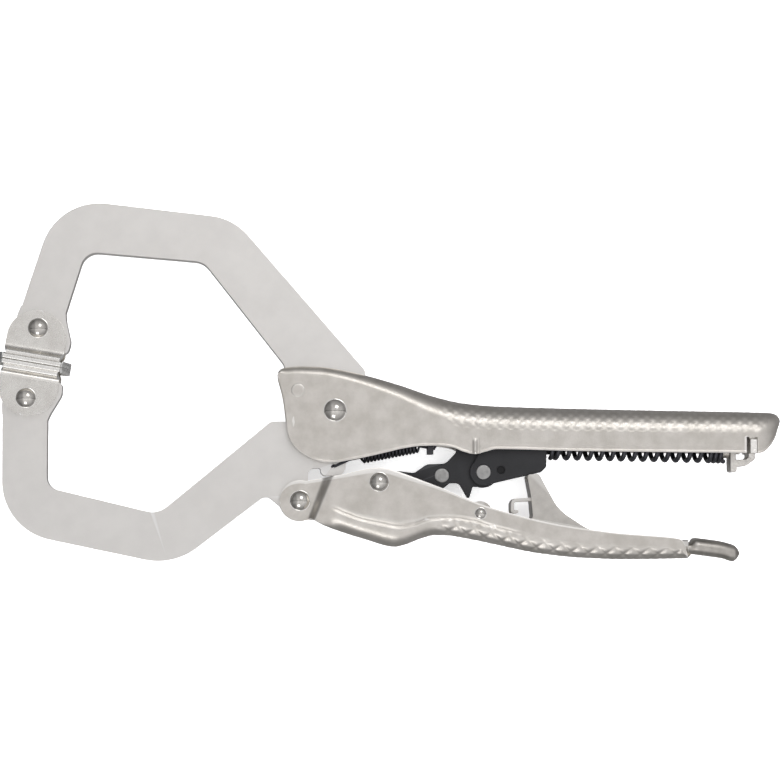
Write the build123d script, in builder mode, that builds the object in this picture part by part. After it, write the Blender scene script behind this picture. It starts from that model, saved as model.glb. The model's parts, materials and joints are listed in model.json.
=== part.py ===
"""Self-adjusting locking C-clamp pliers: two C arms with swivel pads, two sheet handles, a toggle
link, a sprung slider in the upper handle and a release lever in the lower one.

The frame: X runs along the grip, Y up in the plane of the tool, Z across it.
The origin is the middle of the closed jaw, at half the thickness of the tool.
"""

import math
import os

from build123d import *

os.makedirs("parts", exist_ok=True)

# ---------------------------------------------------------------- driving dimensions (mm, degrees)
JAW_REACH = 106.7  # jaw centre to main pivot, along the tool
JAW_DROP = 16.5  # main pivot below the jaw centre
JAW_TILT = 9.4  # lean of the clamping axis from the Y axis
GRIP_LENGTH = 160.0  # main pivot to the rear end of the upper handle
LEVER_LENGTH = 125.4  # main pivot to the rear end of the lower handle

ARM_THICKNESS = 7.0  # both C arms are plates of this thickness
HANDLE_WIDTH = 16.0  # outside width of both handles
SHEET = HANDLE_WIDTH / 8  # handle sheet: all the gauges go with the width
EAR_SHEET = 2.0  # the narrow ears of the lower handle, and the ears of a pad
RUNNING = 0.05  # clearance per side of a running fit
PLATE_GAP = 0.2  # clearance per side of plates that turn beside each other
LOOSE = 0.3  # clearance of parts that pass each other

CROWN_ROUND = 4.5  # long edges on the back of the upper handle
KEEL_ROUND = 4.0  # long edges under the lower handle

MAIN_SHANK = 6.0
MAIN_HEAD = 8.2
JAW_SHANK = 5.0
JAW_HEAD = 7.3
LINK_SHANK = 5.0
LINK_HEAD = 7.0
PAD_SHANK = 5.0
PAD_HEAD = 7.3
RELEASE_SHANK = 3.0
RELEASE_HEAD = 4.3
ARM_RIVET_SHANK = 3.5
ARM_RIVET_HEAD = 4.9
LINK_PLATE_SHANK = 5.1
SLIDER_PIN = 5.1
SLIDER_PIN_PLAY = 1.3  # the pin's hole in the toggle link is larger by this all round
HEAD_RISE = 1.9
SMALL_RISE = 1.0
FLUSH_RISE = 0.2

PAD_BASE = 2.0  # thickness of a pad's clamping plate
PAD_RADIUS = 13.4
PAD_HALF_WIDTH = 8.7
PAD_EAR_RADIUS = 10.4
PAD_EAR_CENTRE = 8.4  # ear's arc centre above the clamping face
PAD_RIVET_HEIGHT = 12.5  # rivet above the clamping face
PAD_FLARE_TOP = 4.2
PAD_LIP = 2.4
PAD_FACE_GAP = 0.05  # half the gap between the closed faces
PAD_SWIVEL = 18.0  # swing of a pad that the arm's end leaves room for

LINK_PLATE = 0.14375 * HANDLE_WIDTH  # one lamination of the toggle link
LINK_EYE = 5.5  # radius of the toggle link around its holes
SLIDER_PLATE = 0.1 * HANDLE_WIDTH
SLIDER_DIMPLE = (6.2, 0.9)  # punch mark on the outside of a slider plate, from its pin
TOOTH_PITCH = 2.0
TOOTH_DEPTH = 0.8
RACK_THICKNESS = 2.5
TOOTH_GAP = 0.3  # the slider and link teeth stand this far below the rack at rest

LEVER_SHEET = 0.0875 * HANDLE_WIDTH  # release lever sheet

ANCHOR_PLATE = 2.5  # thickness of the anchor's cross plate
ANCHOR_REACH = 6.5  # from the cross plate forward to the face that the spring seats on
SPIGOT = 6.0
SLIDE_SPRING_DIAMETER = 8.6
SLIDE_SPRING_WIRE = 1.8
SLIDE_SPRING_PITCH = 4.0
JAW_SPRING_DIAMETER = 5.0
JAW_SPRING_WIRE = 1.0
JAW_SPRING_HEIGHT = 8.0  # its axis above the slider pin
RELEASE_SPRING_WIRE = 1.1
RELEASE_SPRING_TURNS = 6

# Pivots, from the main pivot
JAW_PIVOT = (-12.3, -31.9)
LINK_PIVOT = (15.6, -25.3)
LINK_PLATE_RIVET_AT = (38.2, -22.9)
SLIDER_PIVOT = (52.9, -21.7)
RELEASE_PIVOT = (51.5, -36.4)
ARM_RIVET_AT = (-13.1, 7.0)
NOSE_HOLE_AT = (-0.6, -19.6)

# Back of the upper handle, from the main pivot: it falls to the grip, then runs straight
BACK_FRONT = (-0.5, 15.9)
BACK_BEND = (45.1, 2.25)
SLIDE_SLOPE = -1.0  # the grip's back and the slider's path lean by this

LOWER_BOSS = 11.5  # radius of the lower arm's head around the main pivot
BOSS_GAP = 0.5  # the upper arm's tail stands off that head
JAW_BOSS = 6.5
CHEEK_RADIUS = 9.0

# ---------------------------------------------------------------- values that follow from them
HALF_WIDTH = HANDLE_WIDTH / 2
HALF_CHANNEL = HALF_WIDTH - SHEET
HALF_ARM = ARM_THICKNESS / 2
HALF_LOWER_ARM = HALF_ARM - RUNNING
EAR_INSIDE = HALF_ARM + PLATE_GAP
EAR_OUTSIDE = EAR_INSIDE + EAR_SHEET
LEVER_OUTSIDE = HALF_CHANNEL - PLATE_GAP
LEVER_INSIDE = LEVER_OUTSIDE - LEVER_SHEET
SLIDER_INSIDE = LINK_PLATE + PLATE_GAP
SLIDER_OUTSIDE = SLIDER_INSIDE + SLIDER_PLATE
RACK_HALF_WIDTH = HALF_CHANNEL - (CROWN_ROUND - SHEET)  # the flat under the web
CLEAR_OF_PART = 40.0  # how far a cutting body runs past what it cuts

PIVOT_X = JAW_REACH
PIVOT_Y = -JAW_DROP
SLOPE = math.tan(math.radians(SLIDE_SLOPE))

# Working planes: the handles' plane has its origin at the main pivot
HANDLES = Plane(origin=(PIVOT_X, PIVOT_Y, 0))
LEAN_X = math.cos(math.radians(JAW_TILT))
LEAN_Y = -math.sin(math.radians(JAW_TILT))
UPPER_PAD_PLANE = Plane(origin=(0, 0, 0), x_dir=(LEAN_X, LEAN_Y, 0), z_dir=(0, 0, 1))
LOWER_PAD_PLANE = Plane(origin=(0, 0, 0), x_dir=(LEAN_X, LEAN_Y, 0), z_dir=(0, 0, -1))


def back_height(x):
    """Height of the straight back of the grip over the main pivot."""
    return BACK_BEND[1] + SLOPE * (x - BACK_BEND[0])


SLIDE = Plane(
    origin=(PIVOT_X + SLIDER_PIVOT[0], PIVOT_Y + SLIDER_PIVOT[1], 0),
    x_dir=(math.cos(math.radians(SLIDE_SLOPE)), math.sin(math.radians(SLIDE_SLOPE)), 0),
    z_dir=(0, 0, 1),
)
# Heights in the slide plane, above the slider pin
WEB_OVER_PIN = back_height(SLIDER_PIVOT[0]) - SHEET - SLIDER_PIVOT[1]
WEB_HEIGHT = WEB_OVER_PIN * math.cos(math.radians(SLIDE_SLOPE))
RACK_TIPS = WEB_HEIGHT - RACK_THICKNESS - TOOTH_DEPTH
TOOTH_TIPS = RACK_TIPS - TOOTH_GAP
SPRING_HEIGHT = 9.0  # axis of the slide spring
BLOCK_FRONT = 7.0
BLOCK_REAR = 22.4
ANCHOR_FRONT = GRIP_LENGTH - 12.1  # the anchor's cross plate, from the main pivot
SPRING_END = ANCHOR_FRONT - ANCHOR_REACH - SLIDER_PIVOT[0] - 0.15


# ---------------------------------------------------------------- shared helpers
def at_pivot(x, y, radius):
    """A corner given from the main pivot."""
    return (PIVOT_X + x, PIVOT_Y + y, radius)


def outline(corners):
    """Fill the closed outline through the corners, each (x, y, corner radius)."""
    points = [(x, y) for x, y, radius in corners]
    with BuildLine() as border:
        FilletPolyline(*points, radius=[radius for x, y, radius in corners], close=True)
    make_face(border.edges())


def half_plane(corners):
    """The corners of a closed plan, symmetric about the middle plane, from its near half."""
    return corners + [(x, -z) for x, z in reversed(corners)]


def save(body, label):
    """Name one finished piece and write its STEP file."""
    body.part.label = label
    export_step(body.part, f"parts/{label}.step")


def rivet(label, x, y, shank, grip, head, rise):
    """A rivet along Z at (x, y) from the main pivot: a shank through the grip, two domed heads."""
    crown = (head**2 / 4 + rise**2) / (2 * rise)
    half_angle = math.asin(head / 2 / crown) / 2
    middle = (crown * math.sin(half_angle), grip / 2 + rise - crown * (1 - math.cos(half_angle)))
    axis_plane = Plane(origin=(PIVOT_X + x, PIVOT_Y + y, 0), x_dir=(1, 0, 0), z_dir=(0, -1, 0))
    half_section = [(0, 0), (shank / 2, 0), (shank / 2, grip / 2)]
    if head > shank:
        half_section.append((head / 2, grip / 2))
    with BuildPart() as body:
        with BuildSketch(axis_plane):
            with BuildLine():
                Polyline(*half_section)
                ThreePointArc((head / 2, grip / 2), middle, (0, grip / 2 + rise))
                Line((0, grip / 2 + rise), (0, 0))
            make_face()
        revolve(axis=Axis((PIVOT_X + x, PIVOT_Y + y, 0), (0, 0, 1)))
        mirror(about=Plane.XY)
    save(body, label)


def wire(points, diameter, bend):
    """Add a round wire through the points to the part being built, its bends rounded."""
    with BuildLine() as run:
        FilletPolyline(*points, radius=bend)
    with BuildSketch(Plane(origin=run.line @ 0, z_dir=run.line % 0)) as section:
        Circle(diameter / 2)
    sweep(section.sketch, path=run.line)


def teeth(first, count, base, tip):
    """Points of a row of pointed teeth along X, from a base height to a tip height."""
    points = []
    for index in range(count):
        left = first + index * TOOTH_PITCH
        points.append((left, base))
        points.append((left + TOOTH_PITCH / 2, tip))
    points.append((first + count * TOOTH_PITCH, base))
    return points


# ---------------------------------------------------------------- upper handle
def crown_body(drop, half_width, rear, rounding):
    """A long body with the back's line on top, lowered by drop, its two top edges rounded."""
    front = -CLEAR_OF_PART
    corners = [
        (front, BACK_FRONT[1] - drop, 0),
        (BACK_FRONT[0], BACK_FRONT[1] - drop, 80),
        (BACK_BEND[0], BACK_BEND[1] - drop, 90),
        (rear, back_height(rear) - drop, 0),
        (rear, -CLEAR_OF_PART, 0),
        (front, -CLEAR_OF_PART, 0),
    ]
    with BuildPart() as body:
        with BuildSketch(HANDLES):
            outline(corners)
        extrude(amount=half_width, both=True)
        edges = body.edges()
        side_edges = edges.filter_by(lambda edge: abs(edge.center().Z) > half_width - 0.01)
        top_edges = side_edges.filter_by(lambda edge: edge.center().Y > PIVOT_Y - 8)
        fillet(top_edges.filter_by(lambda edge: edge.center().X > PIVOT_X + front + 1), rounding)
    return body.part


def make_upper_handle():
    """The folded sheet channel, open downwards, closed at the rear."""
    rear = GRIP_LENGTH
    side_profile = [
        (-20.6, BACK_FRONT[1], 3),
        (BACK_FRONT[0], BACK_FRONT[1] + 2, 80),
        (BACK_BEND[0], BACK_BEND[1] + 4, 60),
        (rear, back_height(rear) + 4, 0),
        (rear - 2.0, -8.0, 10),
        (rear - 7.5, -15.2, 2),
        (56.5, -13.4, 4),
        (49.5, -15.9, 5),
        (41.0, -12.3, 8),
        (28.8, -12.3, 35),
        (-13.7, -21.5, 13),
    ]
    with BuildPart() as upper_handle:
        with BuildSketch(HANDLES):
            outline(side_profile)
        extrude(amount=HALF_WIDTH + 1, both=True)
        add(crown_body(0, HALF_WIDTH, rear, CROWN_ROUND), mode=Mode.INTERSECT)
        cavity = crown_body(SHEET, HALF_CHANNEL, rear - SHEET, CROWN_ROUND - SHEET)
        add(cavity, mode=Mode.SUBTRACT)
        with BuildSketch(HANDLES):
            # slot in the web for the upper arm
            with Locations((-9.4, BACK_FRONT[1] - 3)):
                Rectangle(41.6, 14)
        extrude(amount=HALF_ARM, both=True, mode=Mode.SUBTRACT)
        with BuildSketch(HANDLES):
            # notches for the ears of the spring anchor
            with Locations((ANCHOR_FRONT + ANCHOR_PLATE / 2 - 0.6, -13.1)):
                RectangleRounded(ANCHOR_PLATE + 1.4, 8.0, 1.2)
            with Locations((0, 0)):
                Circle(MAIN_SHANK / 2)
            with Locations(ARM_RIVET_AT):
                Circle(ARM_RIVET_SHANK / 2)
        extrude(amount=HALF_WIDTH, both=True, mode=Mode.SUBTRACT)
    save(upper_handle, "upper_handle")


def make_cheeks():
    """Spacer plates between the arm plates and the channel walls."""
    cheek_top = BACK_FRONT[1] - CROWN_ROUND - 0.2
    for side, label in ((1, "cheek_near"), (-1, "cheek_far")):
        with BuildPart() as cheek:
            with BuildSketch(HANDLES.offset(side * HALF_ARM)):
                with BuildLine():
                    FilletPolyline(
                        (-17.7, cheek_top), (6.4, 6.4), (6.4, -6.4), (-6.4, -6.4), (-17.7, 2.4),
                        radius=[2, 3, 3, 3, 2], close=True,
                    )
                make_face()
                Circle(CHEEK_RADIUS)
                Circle(MAIN_SHANK / 2, mode=Mode.SUBTRACT)
                with Locations(ARM_RIVET_AT):
                    Circle(ARM_RIVET_SHANK / 2, mode=Mode.SUBTRACT)
            extrude(amount=side * (HALF_CHANNEL - HALF_ARM))
        save(cheek, label)


def make_lock_rack():
    """Toothed strip under the web, its front end bent down with a hole for the jaw spring."""
    tab_front = -19.9
    tab_foot = 6.0
    first_tooth = -12.0
    tooth_count = 28
    rack_rear = first_tooth + tooth_count * TOOTH_PITCH + 1
    points = [(tab_front, WEB_HEIGHT), (tab_front, tab_foot), (tab_front + SHEET, tab_foot)]
    points.append((tab_front + SHEET, RACK_TIPS + TOOTH_DEPTH))
    points.extend(teeth(first_tooth, tooth_count, RACK_TIPS + TOOTH_DEPTH, RACK_TIPS))
    points.extend([(rack_rear, RACK_TIPS + TOOTH_DEPTH), (rack_rear, WEB_HEIGHT)])
    with BuildPart() as lock_rack:
        with BuildSketch(SLIDE):
            with BuildLine():
                Polyline(*points, close=True)
            make_face()
        extrude(amount=RACK_HALF_WIDTH, both=True)
        hook_hole = SLIDE.from_local_coords((tab_front, JAW_SPRING_HEIGHT, 0))
        with BuildSketch(Plane(hook_hole, z_dir=SLIDE.x_dir)):
            Circle(JAW_SPRING_WIRE / 2 + LOOSE)
        extrude(amount=SHEET, mode=Mode.SUBTRACT)
    save(lock_rack, "lock_rack")


def make_spring_anchor():
    """Cross plate in the rear notches, with a foot bent forward and a spigot for the spring."""
    plate_rear = ANCHOR_FRONT + ANCHOR_PLATE
    seat_front = ANCHOR_FRONT - ANCHOR_REACH
    with BuildPart() as spring_anchor:
        with BuildSketch(HANDLES):
            outline([
                (ANCHOR_FRONT, -5.0, 0),
                (plate_rear, -5.0, 0),
                (plate_rear, -17.0, 1.5),
                (ANCHOR_FRONT - 1.0, -19.4, 1.2),
                (ANCHOR_FRONT - 4.0, -19.6, 0.3),
                (ANCHOR_FRONT - 4.3, -21.6, 0.8),
                (seat_front, -21.6, 0.8),
                (seat_front, -9.9, 0.8),
                (seat_front + SHEET, -9.9, 0.8),
                (seat_front + SHEET, -17.2, 0.5),
                (ANCHOR_FRONT - 0.8, -17.0, 0.3),
                (ANCHOR_FRONT, -16.2, 0.3),
            ])
        extrude(amount=4.0, both=True)
        with BuildSketch(HANDLES):
            with Locations((ANCHOR_FRONT + ANCHOR_PLATE / 2, -9.7)):
                Rectangle(ANCHOR_PLATE, 10.6)
        extrude(amount=HALF_CHANNEL - 0.1, both=True)
        with BuildSketch(HANDLES):
            with Locations((ANCHOR_FRONT + ANCHOR_PLATE / 2, -12.4)):
                Rectangle(ANCHOR_PLATE, 5.2)
        extrude(amount=HALF_WIDTH, both=True)
        spigot_start = SLIDE.from_local_coords((SPRING_END - SPIGOT, SPRING_HEIGHT, 0))
        with BuildSketch(Plane(spigot_start, z_dir=SLIDE.x_dir)):
            Circle(SLIDE_SPRING_DIAMETER / 2 - SLIDE_SPRING_WIRE - LOOSE)
        extrude(amount=SPIGOT + SHEET / 2)
    save(spring_anchor, "spring_anchor")


# ---------------------------------------------------------------- C arms
def arm_end(plane, half_thickness):
    """The end of an arm between a pad's ears: its flats stop the pad's swing."""
    reach = PAD_RIVET_HEIGHT - PAD_BASE - LOOSE
    face = PAD_RIVET_HEIGHT - reach
    toe = reach * math.tan(math.radians(PAD_SWIVEL / 2))
    lobe = 11.6
    rise = (lobe - toe) * math.tan(math.radians(PAD_SWIVEL))
    with BuildPart(mode=Mode.PRIVATE) as end:
        with BuildSketch(plane):
            outline([
                (-7.45, 19.5, 0),
                (-8.2, 16.0, 6),
                (-8.2, face, 4.5),
                (toe, face, 0),
                (lobe, face + rise, 2),
                (12.0, 9.5, 4),
                (9.1, 16.8, 6),
                (8.45, 19.5, 0),
            ])
        extrude(amount=half_thickness, both=True)
    return end.part


def make_upper_arm():
    """Fixed C arm: its tail goes through the slot into the upper handle, round the lower arm's head."""
    with BuildPart() as upper_arm:
        with BuildSketch(Plane.XY):
            outline([
                (-7.2, 10.0, 0),
                (8.6, 58.7, 21),
                (70.6, 51.8, 20),
                at_pivot(10.8, 14.4, 2),
                at_pivot(11.0, 0.0, 0),
                at_pivot(-17.5, 1.0, 2),
                at_pivot(-17.5, 15.8, 6),
                (60.1, 36.3, 7),
                (18.3, 39.7, 6),
                (9.1, 10.0, 0),
            ])
            with Locations((PIVOT_X, PIVOT_Y)):
                Circle(LOWER_BOSS + BOSS_GAP, mode=Mode.SUBTRACT)
            with Locations((PIVOT_X + ARM_RIVET_AT[0], PIVOT_Y + ARM_RIVET_AT[1])):
                Circle(ARM_RIVET_SHANK / 2, mode=Mode.SUBTRACT)
        extrude(amount=HALF_ARM, both=True)
        add(arm_end(UPPER_PAD_PLANE, HALF_ARM))
        with BuildSketch(UPPER_PAD_PLANE):
            with Locations((0, PAD_RIVET_HEIGHT)):
                Circle(PAD_SHANK / 2 + RUNNING)
        extrude(amount=HALF_ARM, both=True, mode=Mode.SUBTRACT)
    save(upper_arm, "upper_arm")


def make_lower_arm():
    """Moving C arm: head on the main rivet, boss for the lower handle and a nose for the jaw spring."""
    with BuildPart() as lower_arm:
        with BuildSketch(Plane.XY):
            outline([
                (-10.4, -12.0, 0),
                (-10.3, -58.6, 21),
                (49.8, -71.3, 22),
                at_pivot(-24.2, -29.8, 3),
                at_pivot(-17.0, -36.0, 0),
                at_pivot(-9.4, -27.0, 0),
                at_pivot(-9.4, -20.4, 2.5),
                at_pivot(-4.9, -20.4, 0.8),
                at_pivot(-4.9, -23.1, 1.8),
                at_pivot(3.5, -23.1, 3.2),
                at_pivot(4.4, -16.0, 3),
                at_pivot(8.0, -8.0, 0),
                at_pivot(-10.7, -3.9, 0),
                at_pivot(-22.6, -3.9, 3),
                (44.4, -53.2, 8),
                (5.3, -43.8, 4.5),
                (5.3, -12.0, 0),
            ])
            with Locations((PIVOT_X, PIVOT_Y)):
                Circle(LOWER_BOSS)
                Circle(MAIN_SHANK / 2 + RUNNING, mode=Mode.SUBTRACT)
            with Locations((PIVOT_X + JAW_PIVOT[0], PIVOT_Y + JAW_PIVOT[1])):
                Circle(JAW_BOSS)
                Circle(JAW_SHANK / 2 + RUNNING, mode=Mode.SUBTRACT)
            with Locations((PIVOT_X + NOSE_HOLE_AT[0], PIVOT_Y + NOSE_HOLE_AT[1])):
                Circle(JAW_SPRING_WIRE / 2 + LOOSE, mode=Mode.SUBTRACT)
        extrude(amount=HALF_LOWER_ARM, both=True)
        add(arm_end(LOWER_PAD_PLANE, HALF_LOWER_ARM))
        with BuildSketch(LOWER_PAD_PLANE):
            with Locations((0, PAD_RIVET_HEIGHT)):
                Circle(PAD_SHANK / 2 + RUNNING)
        extrude(amount=HALF_ARM, both=True, mode=Mode.SUBTRACT)
    save(lower_arm, "lower_arm")


# ---------------------------------------------------------------- swivel pads
def make_pad(label, plane):
    """A stamped pad: a round clamping plate with flared shoulders and two ears."""
    face_plane = Plane(origin=plane.origin, x_dir=plane.x_dir, z_dir=plane.y_dir)
    across_plane = Plane(origin=plane.origin, x_dir=plane.z_dir, z_dir=-plane.x_dir)
    with BuildPart() as pad:
        with BuildSketch(face_plane.offset(PAD_FACE_GAP)):
            Circle(PAD_RADIUS)
            Rectangle(2 * PAD_RADIUS, 2 * PAD_HALF_WIDTH, mode=Mode.INTERSECT)
        extrude(amount=PAD_BASE - PAD_FACE_GAP)
        with BuildSketch(plane):
            with Locations((0, PAD_EAR_CENTRE)):
                Circle(PAD_EAR_RADIUS)
            with Locations((0, PAD_EAR_CENTRE / 2 + PAD_BASE / 2)):
                Rectangle(2 * PAD_EAR_RADIUS, PAD_EAR_CENTRE - PAD_BASE)
            with Locations((0, -PAD_EAR_RADIUS + PAD_BASE)):
                Rectangle(3 * PAD_EAR_RADIUS, 2 * PAD_EAR_RADIUS, mode=Mode.SUBTRACT)
        extrude(amount=EAR_OUTSIDE, both=True)
        with BuildSketch(across_plane):
            for side in (1, -1):
                Polygon(
                    (side * EAR_INSIDE, PAD_BASE - 0.5),
                    (side * PAD_HALF_WIDTH, PAD_BASE - 0.5),
                    (side * PAD_HALF_WIDTH, PAD_LIP),
                    (side * EAR_OUTSIDE, PAD_FLARE_TOP),
                    (side * EAR_INSIDE, PAD_FLARE_TOP),
                    align=None,
                )
        extrude(amount=PAD_EAR_RADIUS - 1, both=True)
        with BuildSketch(plane):
            with Locations((0, PAD_BASE + PAD_RADIUS)):
                Rectangle(3 * PAD_RADIUS, 2 * PAD_RADIUS)
        extrude(amount=EAR_INSIDE, both=True, mode=Mode.SUBTRACT)
        with BuildSketch(plane):
            with Locations((0, PAD_RIVET_HEIGHT)):
                Circle(PAD_SHANK / 2)
        extrude(amount=EAR_OUTSIDE, both=True, mode=Mode.SUBTRACT)
    save(pad, label)


def make_pads():
    """Both pads and their rivets."""
    for name, plane in (("upper", UPPER_PAD_PLANE), ("lower", LOWER_PAD_PLANE)):
        make_pad(f"{name}_pad", plane)
        centre = plane.from_local_coords((0, PAD_RIVET_HEIGHT, 0))
        rivet(
            f"{name}_pad_rivet", centre.X - PIVOT_X, centre.Y - PIVOT_Y,
            PAD_SHANK, 2 * EAR_OUTSIDE, PAD_HEAD, HEAD_RISE,
        )


# ---------------------------------------------------------------- lower handle
KEEL = [  # underside of the lower handle, from the main pivot, rear to front
    (LEVER_LENGTH, -52.4, 0),
    (98.0, -52.8, 80),
    (60.0, -47.9, 80),
    (37.5, -43.2, 8),
    (23.0, -49.4, 6),
    (-6.5, -40.2, 2),
]
JOGGLE_FRONT = -7.0  # the sheet starts to spread here, at the height of the jaw pivot
JOGGLE_REAR = -3.5
JOGGLE_LEAN = 70.0  # the fold leans back from the X axis by this
WEB_FRONT = -1.0  # the web under the lower handle starts here


def leaning_prism(corners):
    """A plan in X and Z carried up and down along the leaning fold of the lower handle."""
    plan_plane = Plane(
        origin=(PIVOT_X, PIVOT_Y + JAW_PIVOT[1], 0), x_dir=(1, 0, 0), z_dir=(0, -1, 0)
    )
    lean = (math.cos(math.radians(JOGGLE_LEAN)), math.sin(math.radians(JOGGLE_LEAN)), 0)
    with BuildPart(mode=Mode.PRIVATE) as prism:
        with BuildSketch(plan_plane):
            with BuildLine():
                Polyline(*half_plane(corners), close=True)
            make_face()
        extrude(amount=CLEAR_OF_PART, dir=lean, both=True)
    return prism.part


def keel_body(lift, half_width, front, rounding):
    """A long body with the keel's line below, raised by lift, its two bottom edges rounded."""
    rear = LEVER_LENGTH + CLEAR_OF_PART
    corners = [(rear, KEEL[0][1] + lift, 0)]
    corners += [(x, y + lift, radius) for x, y, radius in KEEL[1:-1]]
    slope = (KEEL[-1][1] - KEEL[-2][1]) / (KEEL[-1][0] - KEEL[-2][0])
    corners += [(front, KEEL[-2][1] + lift + slope * (front - KEEL[-2][0]), 0)]
    corners += [(front, CLEAR_OF_PART, 0), (rear, CLEAR_OF_PART, 0)]
    with BuildPart() as body:
        with BuildSketch(HANDLES):
            outline(corners)
        extrude(amount=half_width, both=True)
        edges = body.edges()
        side_edges = edges.filter_by(lambda edge: abs(edge.center().Z) > half_width - 0.01)
        keel_edges = side_edges.filter_by(lambda edge: edge.center().Y < PIVOT_Y - 25)
        fillet(keel_edges, rounding)
    return body.part


def make_lower_handle():
    """Formed sheet lever, open upwards: narrow ears in front, full width from the joggle on."""
    rear = LEVER_LENGTH
    ear_top = JAW_PIVOT[1] + 7.2
    ear_foot = JAW_PIVOT[1] - 7.2
    side_profile = [
        (JAW_PIVOT[0], ear_top, 0),
        (16.5, -19.6, 8),
        (47.7, -31.9, 60),
        (80.0, -40.6, 60),
        (rear - 1.4, -45.4, 1.5),
        (rear, -52.4, 0.8),
    ]
    side_profile += KEEL[1:]
    side_profile.append((JAW_PIVOT[0], ear_foot, 0))
    outside = [(-60, EAR_OUTSIDE), (JOGGLE_FRONT, EAR_OUTSIDE)]
    outside += [(JOGGLE_REAR, HALF_WIDTH), (rear + 60, HALF_WIDTH)]
    inside = [(-70, EAR_INSIDE), (JOGGLE_FRONT, EAR_INSIDE)]
    inside += [(JOGGLE_REAR, HALF_CHANNEL), (rear + 70, HALF_CHANNEL)]
    with BuildPart(mode=Mode.PRIVATE) as cavity:
        add(leaning_prism(inside))
        with BuildSketch(HANDLES):
            outline([
                (-CLEAR_OF_PART, 20, 0),
                (-CLEAR_OF_PART, -80, 0),
                (WEB_FRONT, -80, 0),
                (WEB_FRONT, 20, 0),
            ])
        ahead = extrude(amount=HALF_WIDTH, both=True, mode=Mode.PRIVATE)
        above = keel_body(SHEET, HALF_CHANNEL, WEB_FRONT, KEEL_ROUND - SHEET)
        add(ahead + above, mode=Mode.INTERSECT)
    with BuildPart() as lower_handle:
        with BuildSketch(HANDLES):
            outline(side_profile)
            with Locations(JAW_PIVOT):
                Circle(7.2)
        extrude(amount=HALF_WIDTH + 1, both=True)
        add(leaning_prism(outside), mode=Mode.INTERSECT)
        add(keel_body(0, HALF_WIDTH, -CLEAR_OF_PART, KEEL_ROUND), mode=Mode.INTERSECT)
        add(cavity.part, mode=Mode.SUBTRACT)
        with BuildSketch(HANDLES):
            with Locations(JAW_PIVOT):
                Circle(JAW_SHANK / 2)
            with Locations(LINK_PIVOT):
                Circle(LINK_SHANK / 2)
            with Locations(RELEASE_PIVOT):
                Circle(RELEASE_SHANK / 2)
        extrude(amount=HALF_WIDTH, both=True, mode=Mode.SUBTRACT)
    save(lower_handle, "lower_handle")


def make_link_spacers():
    """Washers that keep the toggle link in the middle of the lower handle."""
    inside = LINK_PLATE + RUNNING
    for side, label in ((1, "link_spacer_near"), (-1, "link_spacer_far")):
        with BuildPart() as spacer:
            with BuildSketch(HANDLES.offset(side * inside)):
                with Locations(LINK_PIVOT):
                    Circle(LINK_SHANK / 2 + 2)
                    Circle(LINK_SHANK / 2, mode=Mode.SUBTRACT)
            extrude(amount=side * (HALF_CHANNEL - inside))
        save(spacer, label)


# ---------------------------------------------------------------- toggle link and slider
def make_link_plates():
    """The two laminations of the toggle link, with a toothed horn that faces the rack."""
    horn_left = SLIDER_PIVOT[0] - 9.0
    horn_top = SLIDER_PIVOT[1] + TOOTH_TIPS
    horn_teeth = teeth(horn_left, 3, horn_top - TOOTH_DEPTH, horn_top)
    corners = [
        (LINK_PIVOT[0], LINK_PIVOT[1] + 4.8, 0),
        (28.5, -22.0, 3),
        (32.9, -18.9, 2.5),
        (39.8, -18.6, 4),
        (horn_left - 0.3, -14.5, 2),
    ]
    corners += [(x, y, 0) for x, y in horn_teeth]
    corners += [
        (50.4, -12.0, 5),
        (SLIDER_PIVOT[0], SLIDER_PIVOT[1] + 5.2, 0),
        (SLIDER_PIVOT[0], SLIDER_PIVOT[1] - 5.2, 0),
        (49.2, -26.9, 0.5),
        (47.8, -31.4, 0.4),
        (44.5, -25.6, 2),
        (41.0, -25.6, 1.5),
        (36.0, -29.8, 4),
        (LINK_PIVOT[0], LINK_PIVOT[1] - 4.8, 0),
    ]
    for side, label in ((1, "link_plate_near"), (-1, "link_plate_far")):
        with BuildPart() as link_plate:
            with BuildSketch(HANDLES):
                outline(corners)
                with Locations(LINK_PIVOT):
                    Circle(LINK_EYE - 0.5)
                    Circle(LINK_SHANK / 2 + RUNNING, mode=Mode.SUBTRACT)
                with Locations(SLIDER_PIVOT):
                    Circle(LINK_EYE)
                    Circle(SLIDER_PIN / 2 + SLIDER_PIN_PLAY, mode=Mode.SUBTRACT)
                with Locations(LINK_PLATE_RIVET_AT):
                    Circle(LINK_PLATE_SHANK / 2, mode=Mode.SUBTRACT)
            extrude(amount=side * LINK_PLATE)
        save(link_plate, label)


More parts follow.
